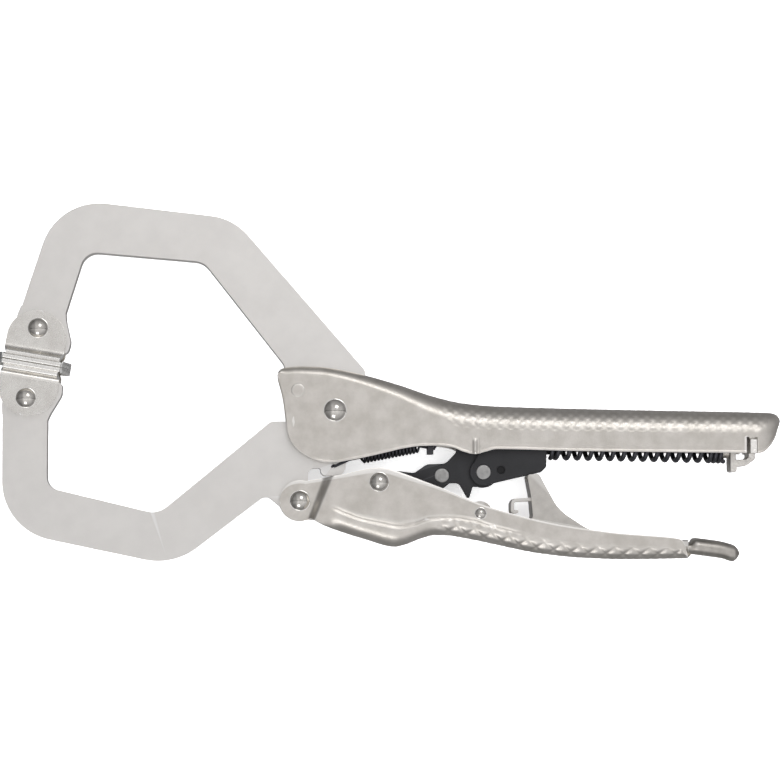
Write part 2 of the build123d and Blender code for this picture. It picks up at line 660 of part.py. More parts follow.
def make_slider():
    """The slider: two plates on a block that runs in the channel, with a spigot for its spring."""
    for side, label in ((1, "slider_plate_near"), (-1, "slider_plate_far")):
        with BuildPart() as slider_plate:
            with BuildSketch(SLIDE.offset(side * SLIDER_INSIDE)):
                outline([
                    (-4.6, 1.0, 0),
                    (-1.8, 6.8, 2),
                    (4.0, 8.4, 1.5),
                    (5.0, 12.9, 1),
                    (BLOCK_REAR, 12.9, 0),
                    (BLOCK_REAR, 2.3, 1),
                    (BLOCK_REAR - 1.9, 0.3, 2),
                    (1.8, -4.4, 0),
                ])
                Circle(4.8)
                Circle(SLIDER_PIN / 2, mode=Mode.SUBTRACT)
            extrude(amount=side * SLIDER_PLATE)
            with BuildSketch(SLIDE.offset(side * SLIDER_OUTSIDE)):
                with Locations(SLIDER_DIMPLE):
                    Circle(1.4)
            extrude(amount=-side * SLIDER_PLATE / 3, mode=Mode.SUBTRACT)
        save(slider_plate, label)
    tooth_count = int((BLOCK_REAR - BLOCK_FRONT) / TOOTH_PITCH)
    tooth_row = teeth(BLOCK_FRONT, tooth_count, TOOTH_TIPS - TOOTH_DEPTH, TOOTH_TIPS)
    head = [(BLOCK_FRONT, 13.0)] + tooth_row
    head += [(BLOCK_REAR, TOOTH_TIPS - TOOTH_DEPTH), (BLOCK_REAR, 13.0)]
    with BuildPart() as slider_block:
        with BuildSketch(SLIDE):
            with BuildLine():
                Polyline(*head, close=True)
            make_face()
        extrude(amount=HALF_CHANNEL - LOOSE, both=True)
        with BuildSketch(SLIDE):
            with Locations(((BLOCK_FRONT + BLOCK_REAR) / 2, 8.2)):
                Rectangle(BLOCK_REAR - BLOCK_FRONT, 9.8)
        extrude(amount=SLIDER_INSIDE, both=True)
        spigot_start = SLIDE.from_local_coords((BLOCK_REAR, SPRING_HEIGHT, 0))
        with BuildSketch(Plane(spigot_start, z_dir=SLIDE.x_dir)):
            Circle(SLIDE_SPRING_DIAMETER / 2 - SLIDE_SPRING_WIRE - LOOSE)
        extrude(amount=SPIGOT)
    save(slider_block, "slider_block")
    rivet("slider_pin", *SLIDER_PIVOT, SLIDER_PIN, 2 * SLIDER_OUTSIDE, SLIDER_PIN, FLUSH_RISE)


# ---------------------------------------------------------------- release lever
def make_release_lever():
    """Folded lever: lugs on its rivet, two fins joined by a cross web, a floor and a solid tail."""
    rear = LEVER_LENGTH
    side_profile = [
        (RELEASE_PIVOT[0], RELEASE_PIVOT[1] + 4.2, 0),
        (60.0, -36.9, 3),
        (70.5, -39.0, 1.5),
        (69.6, -29.6, 20),
        (68.3, -22.6, 1),
        (72.4, -22.3, 1.2),
        (79.5, -35.2, 16),
        (90.5, -42.4, 14),
        (rear - 3.4, -46.2, 6),
        (rear + 1.0, -46.2, 0),
        (rear + 1.0, -60.0, 0),
        (RELEASE_PIVOT[0], -60.0, 0),
    ]
    tail = [
        (rear + 0.2, -45.8, 0),
        (rear + 3.4, -45.0, 2),
        (rear + 18.4, -47.2, 2.2),
        (rear + 19.8, -50.2, 1.5),
        (rear + 17.0, -54.2, 1.5),
        (rear + 13.6, -52.2, 3),
        (rear + 0.2, -50.0, 0),
    ]
    behind_web = [
        (69.8, -15.0, 0),
        (71.3, -30.0, 0),
        (72.2, -39.0, 0),
        (72.2, -45.2, 0),
        (98.0, -48.6, 60),
        (rear - 1.4, -48.7, 0),
        (rear - 1.4, -15.0, 0),
    ]
    ahead_of_web = [
        (40.0, -20.0, 0),
        (40.0, -60.0, 0),
        (65.0, -60.0, 0),
        (65.0, -44.2, 0),
        (70.6, -45.0, 0),
        (70.6, -39.5, 0),
        (66.0, -34.0, 0),
    ]
    web_top = [(60.0, -24.9, 0), (76.0, -24.9, 0), (76.0, -15.0, 0), (60.0, -15.0, 0)]
    tongue = [
        (70.2, -30.7, 0),
        (62.6, -31.1, 2.2),
        (62.6, -36.4, 1.0),
        (65.4, -36.4, 0.6),
        (65.4, -35.1, 0.5),
        (63.9, -35.1, 0.3),
        (63.9, -32.3, 0.8),
        (70.2, -32.0, 0),
    ]
    with BuildPart() as release_lever:
        with BuildSketch(HANDLES):
            outline(side_profile)
        extrude(amount=LEVER_OUTSIDE, both=True)
        floor_lift = SHEET + LOOSE
        add(keel_body(floor_lift, LEVER_OUTSIDE, 0, KEEL_ROUND - SHEET), mode=Mode.INTERSECT)
        with BuildSketch(HANDLES):
            outline(tail)
            with Locations(RELEASE_PIVOT):
                Circle(4.4)
        extrude(amount=LEVER_OUTSIDE, both=True)
        for opening in (behind_web, ahead_of_web, web_top):
            with BuildSketch(HANDLES):
                outline(opening)
            extrude(amount=LEVER_INSIDE, both=True, mode=Mode.SUBTRACT)
        with BuildSketch(HANDLES):
            outline(tongue)
        extrude(amount=LEVER_INSIDE - 0.4, both=True)
        with BuildSketch(HANDLES):
            with Locations(RELEASE_PIVOT):
                Circle(RELEASE_SHANK / 2 + RUNNING)
        extrude(amount=LEVER_OUTSIDE, both=True, mode=Mode.SUBTRACT)
    save(release_lever, "release_lever")


# ---------------------------------------------------------------- springs
def make_slide_spring():
    """Long compression spring between the slider block and the anchor."""
    start = BLOCK_REAR + SLIDE_SPRING_WIRE
    length = SPRING_END - SLIDE_SPRING_WIRE - start
    mean_radius = (SLIDE_SPRING_DIAMETER - SLIDE_SPRING_WIRE) / 2
    coil_foot = SLIDE.from_local_coords((start, SPRING_HEIGHT, 0))
    coil_plane = Plane(coil_foot, x_dir=SLIDE.y_dir, z_dir=SLIDE.x_dir)
    helix = Helix(pitch=SLIDE_SPRING_PITCH, height=length, radius=mean_radius)
    coil = coil_plane.location * helix
    with BuildPart() as slide_spring:
        with BuildSketch(Plane(origin=coil @ 0, z_dir=coil % 0)):
            Circle(SLIDE_SPRING_WIRE / 2)
        sweep(path=coil, is_frenet=True)
    save(slide_spring, "slide_spring")


def make_jaw_spring():
    """Tension spring from the nose of the lower arm to the front tab of the rack."""
    coil_start = SLIDE.from_local_coords((-43.0, JAW_SPRING_HEIGHT, 0))
    coil_end = SLIDE.from_local_coords((-23.0, JAW_SPRING_HEIGHT, 0))
    mean_radius = (JAW_SPRING_DIAMETER - JAW_SPRING_WIRE) / 2
    hook_depth = HALF_LOWER_ARM + JAW_SPRING_WIRE / 2 + LOOSE
    nose = (PIVOT_X + NOSE_HOLE_AT[0], PIVOT_Y + NOSE_HOLE_AT[1])
    inside_coil = SLIDE.from_local_coords((-24.0, JAW_SPRING_HEIGHT, 0))
    tail = SLIDE.from_local_coords((-16.4, JAW_SPRING_HEIGHT, 0))
    tail_tip = SLIDE.from_local_coords((-16.4, JAW_SPRING_HEIGHT + 3, 0))
    with BuildPart() as jaw_spring:
        with BuildSketch(Plane(origin=coil_start, z_dir=SLIDE.x_dir)):
            Circle(JAW_SPRING_DIAMETER / 2)
        extrude(amount=(coil_end - coil_start).length)
        coil_foot = (coil_start.X + 1.0, coil_start.Y - mean_radius + 0.3, JAW_SPRING_WIRE)
        beside_nose = (nose[0] + 6.2, nose[1] + 2.4, hook_depth)
        front_hook = [coil_foot, beside_nose, (*nose, hook_depth), (*nose, -HALF_LOWER_ARM)]
        wire(front_hook, JAW_SPRING_WIRE, JAW_SPRING_WIRE)
        wire([tuple(inside_coil), tuple(tail), tuple(tail_tip)], JAW_SPRING_WIRE, JAW_SPRING_WIRE)
    save(jaw_spring, "jaw_spring")


def make_release_spring():
    """Torsion spring round the release rivet, its leg on the floor of the lower handle."""
    x, y = RELEASE_PIVOT
    pitch = RELEASE_SPRING_WIRE - 0.1
    mean_radius = RELEASE_SHANK / 2 + LOOSE + RELEASE_SPRING_WIRE / 2
    first = -pitch * (RELEASE_SPRING_TURNS - 1) / 2
    with BuildPart() as release_spring:
        for turn in range(RELEASE_SPRING_TURNS):
            with Locations((PIVOT_X + x, PIVOT_Y + y, first + turn * pitch)):
                Torus(mean_radius, RELEASE_SPRING_WIRE / 2)
        leg_start = (PIVOT_X + x - 0.5, PIVOT_Y + y - mean_radius, -first)
        leg_bend = (PIVOT_X + x + 4.0, PIVOT_Y + y - mean_radius - 1.0, -first)
        leg_end = (PIVOT_X + x + 9.0, PIVOT_Y + y - mean_radius - 5.0, -first)
        wire([leg_start, leg_bend, leg_end], RELEASE_SPRING_WIRE, RELEASE_SPRING_WIRE)
    save(release_spring, "release_spring")


# ---------------------------------------------------------------- rivets of the handles
def make_rivets():
    """The rivets that hold the handles, arms and link together."""
    full = 2 * HALF_WIDTH
    rivet("main_pivot_rivet", 0, 0, MAIN_SHANK, full, MAIN_HEAD, HEAD_RISE)
    rivet("arm_rivet", *ARM_RIVET_AT, ARM_RIVET_SHANK, full, ARM_RIVET_HEAD, FLUSH_RISE)
    rivet("jaw_rivet", *JAW_PIVOT, JAW_SHANK, 2 * EAR_OUTSIDE, JAW_HEAD, HEAD_RISE)
    rivet("link_rivet", *LINK_PIVOT, LINK_SHANK, full, LINK_HEAD, HEAD_RISE)
    rivet("release_rivet", *RELEASE_PIVOT, RELEASE_SHANK, full, RELEASE_HEAD, SMALL_RISE)
    laminations = 2 * LINK_PLATE
    flush = (LINK_PLATE_SHANK, laminations, LINK_PLATE_SHANK, FLUSH_RISE)
    rivet("link_plate_rivet", *LINK_PLATE_RIVET_AT, *flush)


make_upper_handle()
make_cheeks()
make_lock_rack()
make_spring_anchor()
make_upper_arm()
make_lower_arm()
make_pads()
make_lower_handle()
make_link_spacers()
make_link_plates()
make_slider()
make_release_lever()
make_slide_spring()
make_jaw_spring()
make_release_spring()
make_rivets()
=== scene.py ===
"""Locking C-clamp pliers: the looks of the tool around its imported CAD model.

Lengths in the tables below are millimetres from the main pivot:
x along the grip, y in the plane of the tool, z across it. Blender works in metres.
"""

import json
import math
from bisect import bisect_right

import bmesh
import bpy
from bpy.props import FloatProperty, FloatVectorProperty, PointerProperty
from mathutils import Matrix, Vector


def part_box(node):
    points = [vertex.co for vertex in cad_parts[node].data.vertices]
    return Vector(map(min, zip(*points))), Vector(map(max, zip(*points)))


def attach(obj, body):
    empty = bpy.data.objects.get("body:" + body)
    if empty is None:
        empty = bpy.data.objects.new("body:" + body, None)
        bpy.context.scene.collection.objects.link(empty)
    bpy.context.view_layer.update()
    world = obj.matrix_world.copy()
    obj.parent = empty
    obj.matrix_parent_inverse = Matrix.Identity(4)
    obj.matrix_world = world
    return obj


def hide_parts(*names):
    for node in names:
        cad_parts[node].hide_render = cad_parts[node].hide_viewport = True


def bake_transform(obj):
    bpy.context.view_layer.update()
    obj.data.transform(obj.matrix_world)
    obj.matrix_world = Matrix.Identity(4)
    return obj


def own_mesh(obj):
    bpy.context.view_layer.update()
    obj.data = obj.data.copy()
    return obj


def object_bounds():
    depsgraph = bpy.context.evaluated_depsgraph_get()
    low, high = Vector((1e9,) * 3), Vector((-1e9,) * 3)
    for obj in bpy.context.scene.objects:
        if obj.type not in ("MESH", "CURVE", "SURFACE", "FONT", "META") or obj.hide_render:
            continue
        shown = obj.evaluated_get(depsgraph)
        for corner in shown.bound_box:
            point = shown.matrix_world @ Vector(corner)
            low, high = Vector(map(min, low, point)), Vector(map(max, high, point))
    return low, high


bl_info = {
    "name": "Locking C-clamp pliers",
    "version": (1, 0, 0),
    "blender": (4, 5, 0),
    "location": "View3D > Sidebar > Pliers",
    "description": "Builds the looks of locking C-clamp pliers around their packed CAD model",
    "category": "Object",
}

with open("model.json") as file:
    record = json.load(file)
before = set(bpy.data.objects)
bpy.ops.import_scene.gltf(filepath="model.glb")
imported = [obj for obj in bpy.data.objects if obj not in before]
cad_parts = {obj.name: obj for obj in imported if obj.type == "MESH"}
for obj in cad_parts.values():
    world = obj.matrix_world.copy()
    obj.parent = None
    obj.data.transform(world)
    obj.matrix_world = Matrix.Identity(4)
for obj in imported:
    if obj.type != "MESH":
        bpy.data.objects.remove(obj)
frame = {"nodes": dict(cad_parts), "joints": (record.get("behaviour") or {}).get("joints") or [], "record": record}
CAD_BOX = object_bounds()
MM = 0.001


def middle(node):
    """The middle of a CAD node's box, in metres."""
    low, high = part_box(node)
    return (low + high) / 2


MAIN_PIVOT = middle("main_pivot_rivet")


# ---------------------------------------------------------------- shared geometry helpers
def from_pivot(x, y, z=0.0):
    """A point given in millimetres from the main pivot, in metres in the shared frame."""
    return MAIN_PIVOT + Vector((x, y, z)) * MM


def smooth_step(value, low, high):
    """0 below low, 1 above high, and a smooth rise between."""
    share = min(max((value - low) / (high - low), 0.0), 1.0)
    return share * share * (3 - 2 * share)


def bell(value, centre, width):
    """A smooth hump of height 1 at centre."""
    return math.exp(-(((value - centre) / width) ** 2))


def curve_through(points):
    """A smooth line over x through the points, without overshoot between them."""
    xs = [x for x, y in points]
    ys = [y for x, y in points]
    rises = [(b - a) / (q - p) for p, q, a, b in zip(xs, xs[1:], ys, ys[1:])]
    slopes = [rises[0]]
    for before, after in zip(rises, rises[1:]):
        same_way = before * after > 0
        slopes.append(2 * before * after / (before + after) if same_way else 0.0)
    slopes.append(rises[-1])

    def height(x):
        at = min(max(bisect_right(xs, x) - 1, 0), len(xs) - 2)
        span = xs[at + 1] - xs[at]
        t = min(max((x - xs[at]) / span, 0.0), 1.0)
        return (
            ys[at] * (1 + 2 * t) * (1 - t) ** 2
            + ys[at + 1] * t * t * (3 - 2 * t)
            + slopes[at] * span * t * (1 - t) ** 2
            + slopes[at + 1] * span * t * t * (t - 1)
        )

    return height


def steps(start, end, spacing):
    """Evenly spaced values from start up to, but without, end."""
    count = max(1, round((end - start) / spacing))
    return [start + (end - start) * k / count for k in range(count)]


def lozenges(along, across, pitch, height):
    """Height, 0 to 1, of a pressed pattern of lozenges between two crossing sets of grooves."""
    first = along / pitch + across / height
    second = along / pitch - across / height
    lowest = min(1 - abs(2 * (u - math.floor(u)) - 1) for u in (first, second))
    return 1 - (1 - lowest) ** 2.4


def shaded_mesh(name, form, sharp_angle=40.0):
    """Turn the built form into a smooth-shaded mesh whose real corners stay crisp."""
    mesh = bpy.data.meshes.new(name)
    form.to_mesh(mesh)
    form.free()
    mesh.shade_smooth()
    mesh.set_sharp_from_angle(angle=math.radians(sharp_angle))
    return mesh


def place(name, mesh, finish, body, nodes=()):
    """Put one piece into the scene: its finish, the body it rides on, the nodes it stands for."""
    piece = bpy.data.objects.new(name, mesh)
    bpy.context.scene.collection.objects.link(piece)
    piece.data.materials.clear()
    piece.data.materials.append(finish)
    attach(piece, body)
    if nodes:
        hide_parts(*nodes)
    return piece


def body_of(node):
    """The CAD body that a node belongs to."""
    for body, members in frame["record"]["behaviour"]["bodies"].items():
        if node in members:
            return body
    raise ValueError(f"no body holds {node}")


def softened_form(node, edge):
    """A CAD node's shape with its corners broken by edge, in metres."""
    form = bmesh.new()
    form.from_mesh(frame["nodes"][node].data)
    bmesh.ops.remove_doubles(form, verts=form.verts, dist=2e-6)
    flat = math.radians(0.6)
    bmesh.ops.dissolve_limit(form, angle_limit=flat, verts=form.verts, edges=form.edges)
    form.normal_update()
    corner = math.radians(32)
    sharp = [e for e in form.edges if len(e.link_faces) == 2 and e.calc_face_angle(0) > corner]
    bmesh.ops.bevel(
        form, geom=sharp, offset=edge, offset_type="OFFSET", segments=3, profile=0.5,
        affect="EDGES", clamp_overlap=True,
    )
    return form


def weight_normals(piece):
    """Keep large flat faces flat in the light beside their rounded edges."""
    modifier = piece.modifiers.new("Flat faces", "WEIGHTED_NORMAL")
    modifier.keep_sharp = True
    modifier.weight = 80


def softened_piece(node, edge, finish):
    """Stand in for a CAD node with the same shape, its edges broken as a real part's are."""
    mesh = shaded_mesh(f"{node}_form", softened_form(node, edge))
    piece = place(f"{node}_finished", mesh, finish, body_of(node), [node])
    weight_normals(piece)
    return piece


def keep_node(node, finish):
    """Leave a CAD node as it is and give it a finish."""
    kept = frame["nodes"][node]
    if not kept.material_slots:
        kept.data.materials.append(finish)
    for held in kept.material_slots:
        held.material = finish


def sheet_form(rows, skipped):
    """A surface over rows of points in millimetres from the main pivot; skipped leaves holes."""
    form = bmesh.new()
    grid = [[form.verts.new(from_pivot(*point)) for point in row] for row in rows]
    for i in range(len(grid) - 1):
        for j in range(len(grid[i]) - 1):
            if not skipped(rows[i][j], rows[i + 1][j + 1]):
                form.faces.new((grid[i][j], grid[i][j + 1], grid[i + 1][j + 1], grid[i + 1][j]))
    loose = [vert for vert in form.verts if not vert.link_faces]
    bmesh.ops.delete(form, geom=loose, context="VERTS")
    form.normal_update()
    near_faces = [face for face in form.faces if face.calc_center_median().z > 0.003]
    if sum(face.normal.z for face in near_faces) < 0:
        bmesh.ops.reverse_faces(form, faces=form.faces)
    return form


def lathe_form(profile, centre, turns=56):
    """A turned shape about Z at centre, from (radius, height) points in millimetres."""
    form = bmesh.new()
    rings = []
    for radius, height in profile:
        if radius < 1e-6:
            rings.append([form.verts.new(centre + Vector((0, 0, height)) * MM)])
            continue
        ring = []
        for k in range(turns):
            angle = 2 * math.pi * k / turns
            reach = Vector((radius * math.cos(angle), radius * math.sin(angle), height))
            ring.append(form.verts.new(centre + reach * MM))
        rings.append(ring)
    for below, above in zip(rings, rings[1:]):
        for k in range(turns):
            after = (k + 1) % turns
            corners = [below[k % len(below)], below[after % len(below)]]
            corners += [above[after % len(above)], above[k % len(above)]]
            form.faces.new(list(dict.fromkeys(corners)))
    bmesh.ops.recalc_face_normals(form, faces=form.faces)
    return form


def wire_mesh(name, points, radius):
    """A round wire of the radius, in metres, through the points."""
    line = bpy.data.curves.new(name, "CURVE")
    line.dimensions = "3D"
    line.bevel_depth = radius
    line.bevel_resolution = 4
    line.use_fill_caps = True
    run = line.splines.new("POLY")
    run.points.add(len(points) - 1)
    for held, point in zip(run.points, points):
        held.co = (*point, 1.0)
    run.use_smooth = True
    carrier = bpy.data.objects.new(name, line)
    bpy.context.scene.collection.objects.link(carrier)
    bpy.context.view_layer.update()
    seen = carrier.evaluated_get(bpy.context.evaluated_depsgraph_get())
    mesh = bpy.data.meshes.new_from_object(seen)
    bpy.data.objects.remove(carrier)
    mesh.shade_smooth()
    return mesh


# ---------------------------------------------------------------- finishes
def linear(hex_colour):
    """An sRGB hex colour as the linear colour that the shaders work in."""
    channels = [int(hex_colour[k : k + 2], 16) / 255 for k in (0, 2, 4)]
    light = [c / 12.92 if c <= 0.04045 else ((c + 0.055) / 1.055) ** 2.4 for c in channels]
    return (*light, 1.0)


def add_node(tree, kind, settings=None, inputs=None):
    """Add one node with its settings; an input is a value, or another node's output to link."""
    made = tree.nodes.new(kind)
    for name, value in (settings or {}).items():
        setattr(made, name, value)
    for socket, value in (inputs or {}).items():
        if isinstance(value, bpy.types.NodeSocket):
            tree.links.new(value, made.inputs[socket])
        else:
            made.inputs[socket].default_value = value
    return made


def per_metre(size_mm):
    """The texture scale that gives features of the size."""
    return 1.0 / (size_mm * MM)


def new_finish(name):
    """An empty node material, its tree, its output and its object coordinates."""
    finish = bpy.data.materials.new(name)
    finish.use_nodes = True
    tree = finish.node_tree
    tree.nodes.clear()
    output = add_node(tree, "ShaderNodeOutputMaterial")
    coordinates = add_node(tree, "ShaderNodeTexCoord")
    return finish, tree, output, coordinates.outputs["Object"]


def metal_finish(
    name, clean, dull, edge, rough_low, rough_high, cloud_mm, grain_mm, grain_depth,
    metallic=1.0, stretch=(1.0, 1.0, 1.0), edge_gain=1.0,
):
    """Bare or plated metal: cloudy colour, fine grain, and edges that handling has brightened."""
    finish, tree, output, place_on = new_finish(name)
    mapped = add_node(tree, "ShaderNodeMapping", inputs={"Vector": place_on, "Scale": stretch})
    clouds = add_node(
        tree, "ShaderNodeTexNoise",
        inputs={"Vector": place_on, "Scale": per_metre(cloud_mm), "Detail": 4.0, "Roughness": 0.6},
    )
    grain = add_node(
        tree, "ShaderNodeTexNoise",
        inputs={
            "Vector": mapped.outputs["Vector"], "Scale": per_metre(grain_mm), "Detail": 3.0,
            "Roughness": 0.55,
        },
    )
    spread = add_node(
        tree, "ShaderNodeMapRange",
        inputs={"Value": clouds.outputs["Fac"], "From Min": 0.35, "From Max": 0.65},
    )
    body_colour = add_node(
        tree, "ShaderNodeMix", {"data_type": "RGBA"},
        {"Factor": spread.outputs["Result"], 6: linear(dull), 7: linear(clean)},
    )
    shape = add_node(tree, "ShaderNodeNewGeometry")
    corner = add_node(
        tree, "ShaderNodeMapRange",
        inputs={"Value": shape.outputs["Pointiness"], "From Min": 0.505, "From Max": 0.56},
    )
    handled = add_node(
        tree, "ShaderNodeMath", {"operation": "MULTIPLY"},
        {0: corner.outputs["Result"], 1: edge_gain},
    )
    colour = add_node(
        tree, "ShaderNodeMix", {"data_type": "RGBA"},
        {"Factor": handled.outputs["Value"], 6: body_colour.outputs[2], 7: linear(edge)},
    )
    gloss = add_node(
        tree, "ShaderNodeMapRange",
        inputs={
            "Value": grain.outputs["Fac"], "From Min": 0.3, "From Max": 0.7,
            "To Min": rough_low, "To Max": rough_high,
        },
    )
    relief = add_node(
        tree, "ShaderNodeBump",
        inputs={"Height": grain.outputs["Fac"], "Distance": grain_depth * MM, "Strength": 1.0},
    )
    shader = add_node(
        tree, "ShaderNodeBsdfPrincipled",
        inputs={
            "Base Color": colour.outputs[2], "Metallic": metallic,
            "Roughness": gloss.outputs["Result"], "Normal": relief.outputs["Normal"],
        },
    )
    tree.links.new(shader.outputs["BSDF"], output.inputs["Surface"])
    return finish


def make_finishes():
    """All the finishes of the tool, by the part that has them."""
    return {
        # Nickel plated plate steel, tumbled: an even warm silver with faint clouds.
        "arm": metal_finish(
            "SatinNickelPlateSteel", "E6E2DC", "DCD8D2", "F5F3F0", 0.30, 0.40, 9.0, 0.55, 0.004,
        ),
        # Nickel plated pressed sheet: a little greyer, with the drag marks of the press.
        "handle": metal_finish(
            "SatinNickelPressedSheet", "DFDAD3", "CFCAC2", "F4F1EC", 0.30, 0.44, 6.0, 0.6, 0.010,
        ),
        # Nickel plated stamped pads: brighter than the plates behind them.
        "pad": metal_finish(
            "BrightNickelStampedPad", "ECE9E3", "E0DCD6", "FBFAF7", 0.24, 0.34, 5.0, 0.5, 0.0025,
        ),
        # Plated sheet edge and bends of the release lever: duller, uneven plating.
        "lever": metal_finish(
            "DullNickelFoldedSheet", "C2BDB5", "A8A39B", "DDDAD5", 0.32, 0.48, 3.5, 0.5, 0.010,
        ),
        # Headed rivets: polished by the rivet set, so they mirror the room.
        "rivet": metal_finish(
            "PolishedNickelRivetHead", "DAD6CF", "C2BEB8", "F2F0EC", 0.10, 0.17, 2.0, 0.4, 0.003,
        ),
        # Ground steel pin ends: plain grey and matt beside the black plates.
        "pin": metal_finish(
            "GroundSteelPinEnd", "B4B3B1", "A09F9D", "CFCFCD", 0.42, 0.55, 1.5, 0.3, 0.006,
        ),
        # Sheared anchor plate, tumbled with its torn edges: rough and sparkling.
        "sheared": metal_finish(
            "ShearedNickelPlate", "D8D3CB", "A8A39B", "F7F4EF", 0.26, 0.52, 1.2, 0.7, 0.22,
        ),
        # Hardened steel, oil blacked: near black with a soft sheen, brown-grey where it rubs.
        "black": metal_finish(
            "OilBlackedSteel", "141415", "0E0E0F", "333335", 0.40, 0.52, 5.0, 0.5, 0.008,
            metallic=0.55,
        ),
        # Blacked spring wire: darker and glossier than the plates, with drawing lines.
        "spring": metal_finish(
            "BlackedSpringWire", "1E1E20", "161618", "3C3C40", 0.28, 0.38, 4.0, 0.4, 0.004,
            metallic=0.7,
        ),
        # Bright torsion spring wire.
        "bright_wire": metal_finish(
            "BrightSpringWire", "C9C7C2", "B0AEA9", "E8E6E2", 0.22, 0.32, 2.0, 0.3, 0.003,
        ),
    }


FINISHES = make_finishes()


# ---------------------------------------------------------------- upper handle
HANDLE_TOP = [
    (-20.2, 13.4), (-19.0, 14.6), (-17.0, 15.2), (-12.2, 15.6), (-6.0, 15.5), (0.1, 14.8),
    (9.5, 12.9), (23.1, 9.2), (33.8, 5.7), (41.7, 3.7), (46.3, 2.9), (55.4, 2.0), (73.4, 1.4),
    (113.0, 0.6), (150.0, 0.0), (156.5, -0.2), (158.8, -0.9), (160.0, -2.4),
]
HANDLE_FOOT = [
    (-20.2, 11.9), (-19.2, 8.4), (-18.3, 4.8), (-17.6, 0.2), (-17.1, -3.7), (-16.8, -6.8),
    (-16.2, -9.4), (-15.1, -11.6), (-13.4, -13.7), (-11.2, -15.4), (-7.0, -17.5), (-3.3, -18.4),
    (0.0, -18.4), (4.0, -17.8), (11.3, -16.4), (18.6, -14.7), (24.7, -13.3), (30.8, -12.5),
    (36.9, -12.4), (41.5, -13.0), (45.4, -14.5), (49.5, -15.4), (53.4, -14.5), (57.2, -13.6),
    (65.2, -13.7), (80.9, -14.1), (112.5, -14.5), (146.5, -14.8), (151.0, -14.9),
    (152.8, -14.4), (155.0, -12.5), (157.3, -9.3), (158.9, -5.4), (160.0, -3.4),
]
HANDLE_ROUND = [
    (-20.2, 0.8), (-17.0, 2.6), (0.0, 3.4), (20.0, 5.0), (37.0, 7.2), (46.0, 7.7), (160, 7.7),
]
GRIP_EDGE = [  # lower edge of the patterned back of the grip
    (37.4, 0.8), (39.5, -2.6), (43.1, -5.4), (53.4, -6.3), (88.7, -7.0), (143.9, -7.3),
    (151.0, -7.0), (154.2, -4.5), (155.6, -1.0),
]
SLOT_HALF = 3.55  # half the width of the slot for the upper arm
SLOT_REAR = 11.4
NOTCH = (146.6, 150.5, -9.1)  # front, rear and top of the notch for the spring anchor
GRIP_PITCH = 3.9
GRIP_LOZENGE = 3.3  # across the back
RIM_STEPS = [0.0, 0.35, 0.7, 1.05, 1.4, 1.9]  # rows of points close to the cut edge
BEAD_AT = 49.6  # pressed bead above the low point of the handle


def handle_section(x, sizes):
    """One section of the upper handle, near edge to far edge, and its pressed pattern."""
    top = curve_through(HANDLE_TOP)(x)
    foot = curve_through(HANDLE_FOOT)(x)
    half = sizes["half_width"]
    if x > 150.0:
        half *= math.sqrt(max(1 - ((x - 150.0) / 10.1) ** 2, 0.004))
    rounding = min(curve_through(HANDLE_ROUND)(x), half * 0.98, (top - foot) * 0.9)
    wall = top - rounding - foot
    near_rim = [r * min(1.0, wall / 5.0) for r in RIM_STEPS]
    rows = near_rim + [
        near_rim[-1] + (wall - near_rim[-1]) * k / 22 for k in range(1, 23)
    ]
    edge = curve_through(GRIP_EDGE)(x)
    inside_x = smooth_step(x, 37.2, 38.4) * (1 - smooth_step(x, 155.0, 155.8))
    half_section = []
    around = 0.0
    for rise in rows:
        y = foot + rise
        half_section.append((y, half, 0.0, 1.0, top - rounding - y))
    for k in range(1, 23):
        angle = math.pi / 2 * k / 22
        y = top - rounding + rounding * math.sin(angle)
        z = half - rounding + rounding * math.cos(angle)
        half_section.append((y, z, math.sin(angle), math.cos(angle), -rounding * angle))
    flat = half - rounding
    slot_side = SLOT_HALF if x < SLOT_REAR + 0.5 else flat / 2
    for z in (min(slot_side, flat * 0.9), 0.0):
        half_section.append((top, z, 1.0, 0.0, -rounding * math.pi / 2 - (flat - z)))
    near = []
    for y, z, lean_y, lean_z, around in half_section:
        inside = inside_x * smooth_step(y, edge - 0.25, edge + 0.25)
        pressed = lozenges(x, around - sizes["phase"], GRIP_PITCH, GRIP_LOZENGE)
        depth = inside * (sizes["knurl"] * pressed - 0.8 * sizes["knurl"])
        on_wall = lean_z > 0.99
        if on_wall:
            above = y - foot
            depth -= 0.14 * bell(above, 1.05, 0.3) * smooth_step(x, -9, -5) * (1 - inside)
            bead = bell(x, BEAD_AT, 0.55) * (1 - smooth_step(above, 4.6, 5.6))
            depth += 0.28 * bead
            depth -= 0.14 * (1 - smooth_step(above, 4.6, 5.6)) * (
                bell(x, BEAD_AT - 1.2, 0.4) + bell(x, BEAD_AT + 1.2, 0.4)
            )
        near.append((x, y + lean_y * depth, z + lean_z * depth))
    return near + [(px, y, -z) for px, y, z in reversed(near[:-1])]


